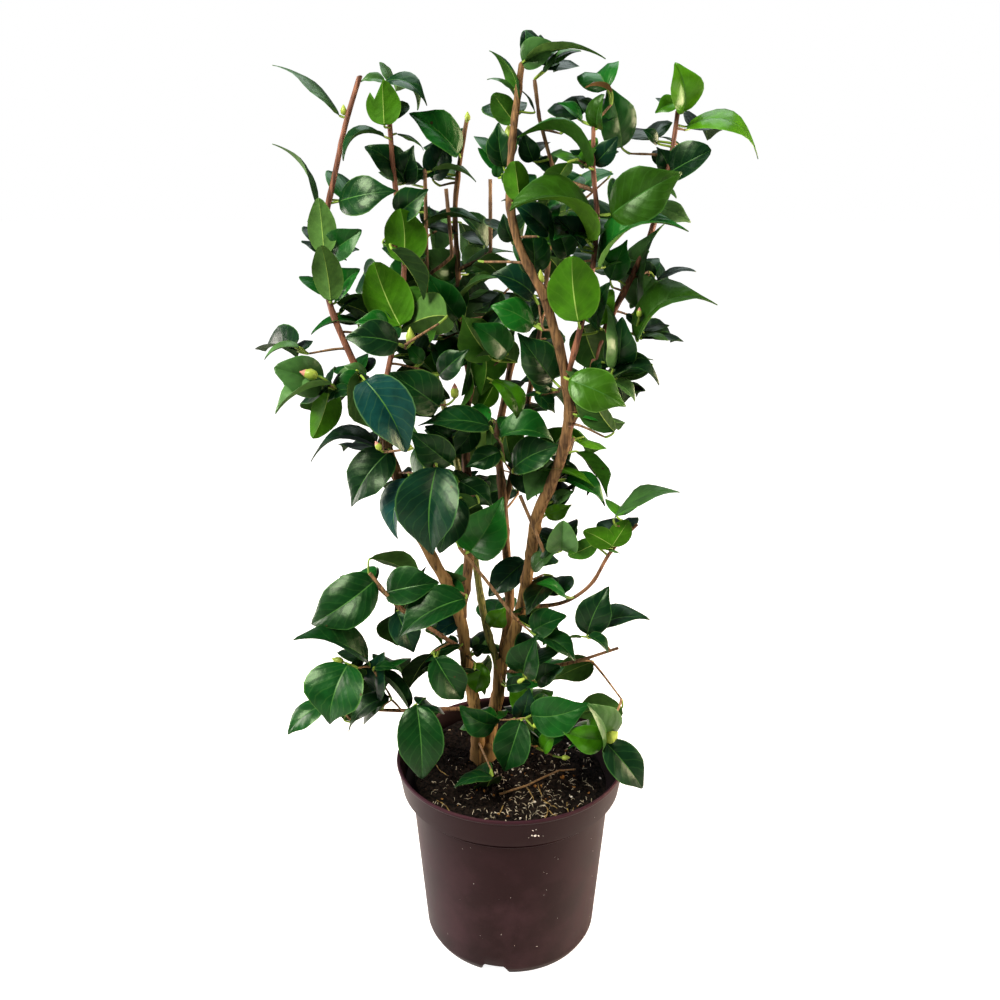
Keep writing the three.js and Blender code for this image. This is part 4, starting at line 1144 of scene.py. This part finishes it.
# %% Sizes of the pot
pot_low, pot_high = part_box("pot")
soil_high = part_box("potting_soil")[1]
POT_HEIGHT = pot_high.z
RIM_RADIUS = (pot_high.x - pot_low.x) / 2
COLLAR_Z = 140 * MM
COLLAR_RADIUS = 90.5 * MM
COLLAR_FLARE = 0.16
SHOULDER = 83 * MM
WALL_FOOT = 72.5 * MM
BASE_RADIUS = 69 * MM
BASE_CHAMFER = 7 * MM
WALL = 2.6 * MM
FLOOR_Z = 11.5 * MM
NOTCHES = [math.radians(-101 + 120 * k) for k in range(3)]
NOTCH_HEIGHT = 9 * MM
NOTCH_DEPTH = 14 * MM
NOTCH_HALF = (12 * MM, 8.5 * MM)
POT_COLUMNS = 360
INSIDE_ROWS = 9


def wall_radius(z):
    """Outer radius of the cone at a height: straight from the foot of the wall to the shoulder."""
    return WALL_FOOT + (SHOULDER - WALL_FOOT) * (z - BASE_CHAMFER) / (COLLAR_Z - BASE_CHAMFER)

# %% Turn the pot
wall_z = np.linspace(9.3 * MM, COLLAR_Z - 9 * MM, 14)
collar_z = np.linspace(COLLAR_Z + 1.2 * MM, POT_HEIGHT - 3.4 * MM, 5)
mould_line = [(wall_radius(z) + swell, z) for z, swell in
              ((132.0 * MM, 0), (132.5 * MM, 0.35 * MM), (133.1 * MM, 0.35 * MM), (133.6 * MM, 0))]
profile = np.array(
    [(0, 0), (30 * MM, 0), (WALL_FOOT - 3.5 * MM - NOTCH_DEPTH - 0.4 * MM, 0),
     (WALL_FOOT - 3.5 * MM - NOTCH_DEPTH, 0), (BASE_RADIUS - 6 * MM, 0), (BASE_RADIUS - 0.8 * MM, 0),
     (BASE_RADIUS, 0.6 * MM), (BASE_RADIUS + 1.2 * MM, 2.4 * MM), (WALL_FOOT - 0.3 * MM, 6.2 * MM),
     (WALL_FOOT, 7.2 * MM)]
    + [(wall_radius(z), z) for z in wall_z] + mould_line
    + [(SHOULDER - 0.2 * MM, COLLAR_Z - 1.4 * MM), (SHOULDER + 0.8 * MM, COLLAR_Z - 0.5 * MM),
       (COLLAR_RADIUS - 0.9 * MM, COLLAR_Z - 0.2 * MM), (COLLAR_RADIUS, COLLAR_Z + 0.3 * MM)]
    + [(COLLAR_RADIUS + (z - COLLAR_Z) * COLLAR_FLARE, z) for z in collar_z]
    + [(RIM_RADIUS - 0.3 * MM, POT_HEIGHT - 2.6 * MM), (RIM_RADIUS, POT_HEIGHT - 1.6 * MM),
       (RIM_RADIUS - 0.3 * MM, POT_HEIGHT - 0.5 * MM), (RIM_RADIUS - 1.1 * MM, POT_HEIGHT),
       (RIM_RADIUS - 2.2 * MM, POT_HEIGHT - 0.2 * MM), (RIM_RADIUS - 3.0 * MM, POT_HEIGHT - 1.2 * MM),
       (91.2 * MM, POT_HEIGHT - 5 * MM), (88.2 * MM, COLLAR_Z + 2 * MM), (86 * MM, COLLAR_Z + 1.2 * MM),
       (SHOULDER - WALL, COLLAR_Z - 1 * MM), (wall_radius(70 * MM) - WALL, 70 * MM),
       (WALL_FOOT - WALL, FLOOR_Z + 1 * MM), (WALL_FOOT - WALL - 1.5 * MM, FLOOR_Z), (0.0, FLOOR_Z)])
turn = np.arange(POT_COLUMNS) * 2 * math.pi / POT_COLUMNS


def notch_roof(angle, radius):
    """How far the foot is lifted at an angle: to the notch's height between its slanting sides."""
    lift = np.zeros(np.broadcast_shapes(angle.shape, radius.shape))
    for middle in NOTCHES:
        aside = np.abs((angle - middle + math.pi) % (2 * math.pi) - math.pi) * radius
        slope = (NOTCH_HALF[0] - aside) / (NOTCH_HALF[0] - NOTCH_HALF[1])
        lift = np.maximum(lift, NOTCH_HEIGHT * np.clip(slope, 0, 1))
    return lift


radius = np.broadcast_to(profile[:, 0][:, None], (len(profile), POT_COLUMNS))
height = profile[:, 1][:, None] + 0 * turn
roof = notch_roof(turn[None], np.full_like(radius, WALL_FOOT))
in_foot = (radius > WALL_FOOT - 3.6 * MM - NOTCH_DEPTH) & (height < NOTCH_HEIGHT)
height = np.where(in_foot, np.maximum(height, roof), height)
warp = 0.35 * MM * np.sin(2 * turn + 0.6)[None] * np.clip(height / POT_HEIGHT, 0, 1)
warped = radius + warp * (radius > 0)
shape = np.stack([warped * np.cos(turn), warped * np.sin(turn), height], -1)
rings = len(profile) - 2
side = ring_faces(1, rings, POT_COLUMNS)[0] + 1
column = np.arange(POT_COLUMNS)
after = (column + 1) % POT_COLUMNS
last = (rings - 1) * POT_COLUMNS + 1
under_fan = np.stack([0 * column, 1 + after, 1 + column], -1)
floor_fan = np.stack([last + column, last + after, np.full_like(column, last + POT_COLUMNS)], -1)
faces = side.tolist() + under_fan.tolist() + floor_fan.tolist()
points = np.vstack([shape[0, :1], shape[1:-1].reshape(-1, 3), shape[-1, :1]])
inside = np.arange(rings - 1) > rings - INSIDE_ROWS
stained = np.concatenate([np.repeat(inside, POT_COLUMNS), np.zeros(POT_COLUMNS), np.ones(POT_COLUMNS)])
print("pot points:", len(points))

# %% [markdown]
# The plastic is satin when new. Outdoors it clouds over: dust settles in soft patches, more of it
# low down, and the dust fades out towards the collar so that the collar stays darker, which is
# painted shade; dried flecks stay on it, and a paler line on the lip is a painted highlight. Inside,
# wet compost has stained it nearly black.

# %% Pot material
DUST_CLOUD = 38 * MM
FLECK = 2.2 * MM
MOULD_GRAIN = 0.9 * MM
# Height where the dust is full; above it the dust fades out, so the collar is painted darker as shade.
DUST_AND_SHADE_FOOT = COLLAR_Z - 70 * MM


def moulded_plastic(name, colour, dusty, lip_highlight_tone):
    """Polypropylene that has stood outdoors: satin, with dried splashes and a bloom of dust that makes its
    colour cloudy, more so low down and faint on the collar, which stays darker as painted shade, and a
    paler line on the lip that is a painted highlight."""
    material, tree = new_material(name)
    place = add(tree, "TexCoord").outputs["Object"]
    cloud = add(tree, "TexNoise", {"Vector": place, "Scale": 1 / DUST_CLOUD,
                                   "Detail": 6.0, "Roughness": 0.62})
    bloom = add(tree, "MapRange", {"Value": cloud, "From Min": 0.42, "From Max": 0.72, "To Max": 0.55})
    fleck = add(tree, "TexNoise", {"Vector": place, "Scale": 1 / FLECK, "Detail": 1.0})
    spot = add(tree, "MapRange", {"Value": fleck, "From Min": 0.74, "From Max": 0.80, "To Max": 0.5})
    part = add(tree, "SeparateXYZ", {0: place})
    # Dust that grows low down and fades to little on the collar: dust, and painted shade on the collar.
    low_dust_collar_shade = add(tree, "MapRange", {"Value": part.outputs[2], "From Min": COLLAR_Z,
                                    "From Max": DUST_AND_SHADE_FOOT, "To Min": 0.1, "To Max": 1.2})
    dust_with_collar_shade = add(tree, "Math", {0: bloom, 1: low_dust_collar_shade}, operation="MULTIPLY")
    # A paler line on the lip: a painted highlight.
    lip = add(tree, "MapRange", {"Value": part.outputs[2], "From Min": POT_HEIGHT - 3.2 * MM,
                                 "From Max": POT_HEIGHT - 1.2 * MM, "To Max": 0.5})
    tone = layered(tree, linear(colour), [(dust_with_collar_shade, linear(dusty)), (lip, linear(lip_highlight_tone)),
                                          (spot, linear(dusty))])
    dull = add(tree, "MapRange", {"Value": cloud, "To Min": 0.30, "To Max": 0.52})
    grain = add(tree, "TexNoise", {"Vector": place, "Scale": 1 / MOULD_GRAIN, "Detail": 2.0})
    relief = add(tree, "Bump", {"Height": grain, "Strength": 0.10, "Distance": 0.15 * MM})
    end_with_shader(tree, {"Base Color": tone, "Roughness": dull,
                           "Specular IOR Level": 0.28, "Specular Tint": linear("#b57f80"),
                           "Normal": relief})
    return material


# The last colour of each is the painted highlight on the lip.
POT_PLASTIC = moulded_plastic("moulded_polypropylene", "#180b0f", "#38242a", "#38212a")
STAINED = moulded_plastic("peat_stained_polypropylene", "#0c0808", "#1a1312", "#2a191b")
pot = make_object("nursery_pot", points, faces, [POT_PLASTIC, STAINED], stained, 32)
dress(pot, "pot_plastic", "pot")

# %% [markdown]
# ## The compost
#
# The pot is filled with dark peaty compost that has sunk towards the front right; its nearly black
# colour is dark peat and also painted shade from the crown above. Its surface is a disc whose height
# is the sum of a slope, some broad humps and fine lumps; it runs down the wall and closes underneath.
# Loose crumbs, white grains of perlite, orange flakes of bark and pale roots lie on it, each kind one
# joined piece.

# %% The height of the compost
SOIL_RADIUS = 80.8 * MM
GROUND = soil_high.z
DIP = 10 * MM
DIP_WAY = np.array([0.55, -0.83])
HEAP = 11 * MM
SOIL_ROWS = 60
SOIL_COLUMNS = 200


def ground_height(xy):
    """Height of the compost at points (..., 2): level at the stems, sinking to the front right and
    heaped up at the back left, with humps and lumps, and a little lower where it meets the wall."""
    forward = np.clip((xy @ DIP_WAY) / SOIL_RADIUS * 0.5 + 0.42, 0, 1)
    backward = np.clip(-(xy @ DIP_WAY) / SOIL_RADIUS - 0.15, 0, 1)
    slope = -DIP * forward ** 2 * (3 - 2 * forward) + HEAP * backward
    flat = np.concatenate([xy, np.zeros(xy.shape[:-1] + (1,))], -1)
    humps = ripples(flat, 34 * MM, 61) * 0.9 * MM
    lumps = ripples(flat, 7 * MM, 62) * 0.55 * MM + ripples(flat, 2.6 * MM, 63) * 0.35 * MM
    out = np.linalg.norm(xy, axis=-1) / SOIL_RADIUS
    return GROUND - 1.5 * MM + slope + humps + lumps - 1.2 * MM * np.clip(out - 0.9, 0, 1) * 10

# %% The body of the compost
turn = np.arange(SOIL_COLUMNS) * 2 * math.pi / SOIL_COLUMNS
wheel = np.stack([np.cos(turn), np.sin(turn)], -1)[None]
xy = np.linspace(0.5 * MM, SOIL_RADIUS, SOIL_ROWS)[:, None, None] * wheel
top = np.concatenate([xy, ground_height(xy)[..., None]], -1)
under_r = np.array([0.5 * MM, 70 * MM, SOIL_RADIUS - 0.4 * MM])[:, None, None]
under_z = np.array([30 * MM, 30 * MM, 118 * MM])[:, None, None]
under = np.concatenate([under_r * wheel, np.broadcast_to(under_z, (3, SOIL_COLUMNS, 1))], -1)
shape = np.concatenate([under, top[::-1]])


def rough_earth(name, dark, light, grain_size, damp):
    """Peat and composted bark: a dark colour with lighter brown fibres between, no shine at all."""
    material, tree = new_material(name)
    place = add(tree, "TexCoord").outputs["Object"]
    grain = add(tree, "TexNoise", {"Vector": place, "Scale": 1 / grain_size, "Detail": 6.0})
    mixed = add(tree, "MapRange", {"Value": grain, "From Min": 0.42, "From Max": 0.70})
    tone = layered(tree, linear(dark), [(mixed, linear(light))])
    relief = add(tree, "Bump", {"Height": grain, "Strength": 0.9, "Distance": 1.0 * MM})
    end_with_shader(tree, {"Base Color": tone, "Roughness": damp,
                           "Specular IOR Level": 0.1, "Normal": relief})
    return material


# The peat's nearly black colour is dark peat and also painted shade under the crown.
PEAT = rough_earth("dark_peat", "#050403", "#221a15", 2.6 * MM, 0.95)
dress_tubes("compost", shape[None], [PEAT], "compost", None, None, ["potting_soil"])

# %% Crumbs, perlite and bark flakes: small twenty-sided lumps, each squashed and turned its own way
GOLDEN = (1 + math.sqrt(5)) / 2
LUMP = unit(np.array([(-1, GOLDEN, 0), (1, GOLDEN, 0), (-1, -GOLDEN, 0), (1, -GOLDEN, 0), (0, -1, GOLDEN),
                      (0, 1, GOLDEN), (0, -1, -GOLDEN), (0, 1, -GOLDEN), (GOLDEN, 0, -1), (GOLDEN, 0, 1),
                      (-GOLDEN, 0, -1), (-GOLDEN, 0, 1)], float))
LUMP_FACES = np.array([(0, 11, 5), (0, 5, 1), (0, 1, 7), (0, 7, 10), (0, 10, 11), (1, 5, 9), (5, 11, 4),
                       (11, 10, 2), (10, 7, 6), (7, 1, 8), (3, 9, 4), (3, 4, 2), (3, 2, 6), (3, 6, 8),
                       (3, 8, 9), (4, 9, 5), (2, 4, 11), (6, 2, 10), (8, 6, 7), (9, 8, 1)])


def lumps(name, places, sizes, squash, seed, materials, slot):
    """One piece of many lumps: a twenty-sided ball per place, stretched by its own three sizes, made
    uneven corner by corner, and turned at random."""
    draw = np.random.default_rng(seed)
    count = len(places)
    frame_of = np.linalg.qr(draw.normal(size=(count, 3, 3)))[0]
    frame_of = frame_of * np.sign(np.linalg.det(frame_of))[:, None, None]
    stretch = sizes[:, None] * draw.uniform(squash, 1.0, (count, 3))
    ball = LUMP[None] * draw.uniform(0.75, 1.15, (count, 12, 1)) * stretch[:, None]
    points = np.einsum("nij,nkj->nki", frame_of, ball) + places[:, None]
    faces = (LUMP_FACES[None] + np.arange(count)[:, None, None] * 12).reshape(-1, 3)
    return dress(make_object(name, points, faces.tolist(), materials, None, 40), slot)


def scatter(count, seed, towards=0.0, sink=0.3, size=1 * MM):
    """Random places on the compost; `towards` above 0 crowds them to the front right."""
    draw = np.random.default_rng(seed)
    xy = draw.normal(size=(count * 4, 2)) * 0.9 + DIP_WAY * towards
    xy = xy[np.linalg.norm(xy, axis=1) < 1.65][:count] / 1.7 * (SOIL_RADIUS - 2 * MM)
    return np.concatenate([xy, (ground_height(xy) + size * (1 - sink) * 0.5)[:, None]], -1)


draw = np.random.default_rng(71)
spots = scatter(1500, 72)
lumps("compost_crumbs", spots, draw.uniform(0.6, 2.3, len(spots)) * MM, 0.5, 73, [PEAT], "compost")
PERLITE = rough_earth("white_perlite", "#cfc9bb", "#efebe2", 1.2 * MM, 0.9)
FLAKE = rough_earth("orange_bark_flake", "#6a4322", "#a67a3c", 1.5 * MM, 0.8)
spots = scatter(34, 74)
lumps("perlite_grains", spots, draw.uniform(0.7, 1.5, len(spots)) * MM, 0.6, 75, [PERLITE], "compost")
spots = scatter(46, 76, 0.5)
lumps("bark_flakes", spots, draw.uniform(1.0, 2.4, len(spots)) * MM, 0.25, 77, [FLAKE], "compost")

# %% Dry fibres and a few roots that have crept out over the compost
FIBRE_STEPS = 8
FIBRE_SIDES = 5


def fibres(name, seats, lengths, curls, thick, seed, material):
    """One piece of thin curved threads that lie on the compost: each heading turns steadily along the
    thread, and its middle stands a little proud of the ground."""
    draw = np.random.default_rng(seed)
    count = len(seats)
    length = draw.uniform(*lengths, count) * MM
    t = np.linspace(-0.5, 0.5, FIBRE_STEPS)[None, :]
    way = draw.uniform(0, 2 * math.pi, count)[:, None] + draw.normal(size=count)[:, None] * curls * t
    step = length[:, None] / FIBRE_STEPS
    run = np.stack([np.cumsum(np.cos(way) * step, 1), np.cumsum(np.sin(way) * step, 1)], -1)
    xy = seats[:, None, :2] + run
    reach = np.linalg.norm(xy, axis=-1, keepdims=True)
    xy = xy * np.minimum(1, (SOIL_RADIUS - 2 * MM) / reach)
    hop = 0.8 * MM * np.sin(math.pi * (t + 0.5)) * draw.uniform(0.1, 1.6, (count, 1))
    path = np.concatenate([xy, (ground_height(xy) + 0.4 * MM + hop)[..., None]], -1)
    radius = (draw.uniform(*thick, count) * MM)[:, None] * (1.25 - 2.6 * t ** 2)
    return dress_tubes(name, tube_points(path, radius, FIBRE_SIDES), [material], "compost")


STRAW = rough_earth("pale_dry_fibre", "#847c68", "#d2cab2", 5 * MM, 0.8)
ROOT_SKIN = rough_earth("dry_root_skin", "#5c4a2c", "#a48d55", 3 * MM, 0.8)
fibres("dry_fibres", scatter(260, 81, 1.0), (2, 7), 0.35, (0.12, 0.30), 82, STRAW)
fibres("stray_fibres", scatter(110, 83), (2, 6), 0.35, (0.10, 0.24), 84, STRAW)
fibres("surface_roots", scatter(16, 85, 1.1), (12, 26), 1.2, (0.28, 0.45), 86, ROOT_SKIN)

# %% White specks of lime and dust on the outside of the pot
LIME = rough_earth("dried_lime", "#bdb6ac", "#efebe4", 1.2 * MM, 0.9)
SPLASHES = np.array([
    # degrees round the pot, height in mm, size in mm
    (-79.0, 150, 2.0), (-77.3, 149.5, 1.0), (-80.6, 150.5, 0.8), (-80.2, 155.5, 0.9),
    (-78.6, 156, 0.7), (-82.0, 148.5, 0.6)])
DUST_SPECKS = 90
HALF_SUNK = 0.1 * MM
draw = np.random.default_rng(87)
dust = np.stack([draw.uniform(-180, 180, DUST_SPECKS), draw.uniform(18, 158, DUST_SPECKS),
                 draw.uniform(0.15, 0.4, DUST_SPECKS)], -1)
specks = np.vstack([SPLASHES, dust])
around = np.radians(specks[:, 0])
speck_z = specks[:, 1] * MM
collar_wall = COLLAR_RADIUS - HALF_SUNK + (speck_z - COLLAR_Z) * COLLAR_FLARE
wall = np.where(speck_z > COLLAR_Z, collar_wall, wall_radius(speck_z))
spots = np.stack([wall * np.cos(around), wall * np.sin(around), speck_z], -1)
lumps("lime_specks", spots, specks[:, 2] * MM, 0.4, 88, [LIME], "pot_plastic")

# %% One thin brown shoot creeps over the compost
CREEPER = np.array([(-0.12, -0.32), (0.02, -0.29), (0.16, -0.22), (0.34, -0.10), (0.50, 0.0), (0.68, 0.07)])
xy = CREEPER * SOIL_RADIUS
hop = np.array([1.0, 3.0, 4.0, 5.0, 6.0, 4.0]) * MM
path = np.concatenate([xy, (ground_height(xy) + hop)[:, None]], -1)[None]
points = tube_points(path, np.linspace(1.0, 0.7, len(CREEPER))[None] * MM, TWIG_SIDES)
dress_tubes("creeping_shoot", points, [BARK["twig"]], "bark")

# %% [markdown]
# ## The floor
#
# The floor is one plain pale sheet, far larger than the shrub, so its edge is never seen close. It
# also glows a little, but only to the eye, so that it looks as white as the backdrop behind it and
# throws no more light on the shrub than pale paper does.

# %% The floor
FLOOR_HALF = 12.0
PAPER_GLOW = 0.92
floor_mesh = bpy.data.meshes.new("floor")
floor_mesh.from_pydata([(-FLOOR_HALF, -FLOOR_HALF, 0), (FLOOR_HALF, -FLOOR_HALF, 0),
                        (FLOOR_HALF, FLOOR_HALF, 0), (-FLOOR_HALF, FLOOR_HALF, 0)], [], [(0, 1, 2, 3)])
floor = bpy.data.objects.new("floor", floor_mesh)
bpy.context.scene.collection.objects.link(floor)
paper, tree = new_material("pale_paper")
ray = add(tree, "LightPath")
glow = add(tree, "Math", {0: ray.outputs["Is Camera Ray"], 1: PAPER_GLOW}, operation="MULTIPLY")
end_with_shader(tree, {"Base Color": linear("#b9b8b6"), "Roughness": 0.9, "Specular IOR Level": 0.0,
                       "Emission Color": (1, 1, 1, 1), "Emission Strength": glow})
floor_mesh.materials.append(paper)
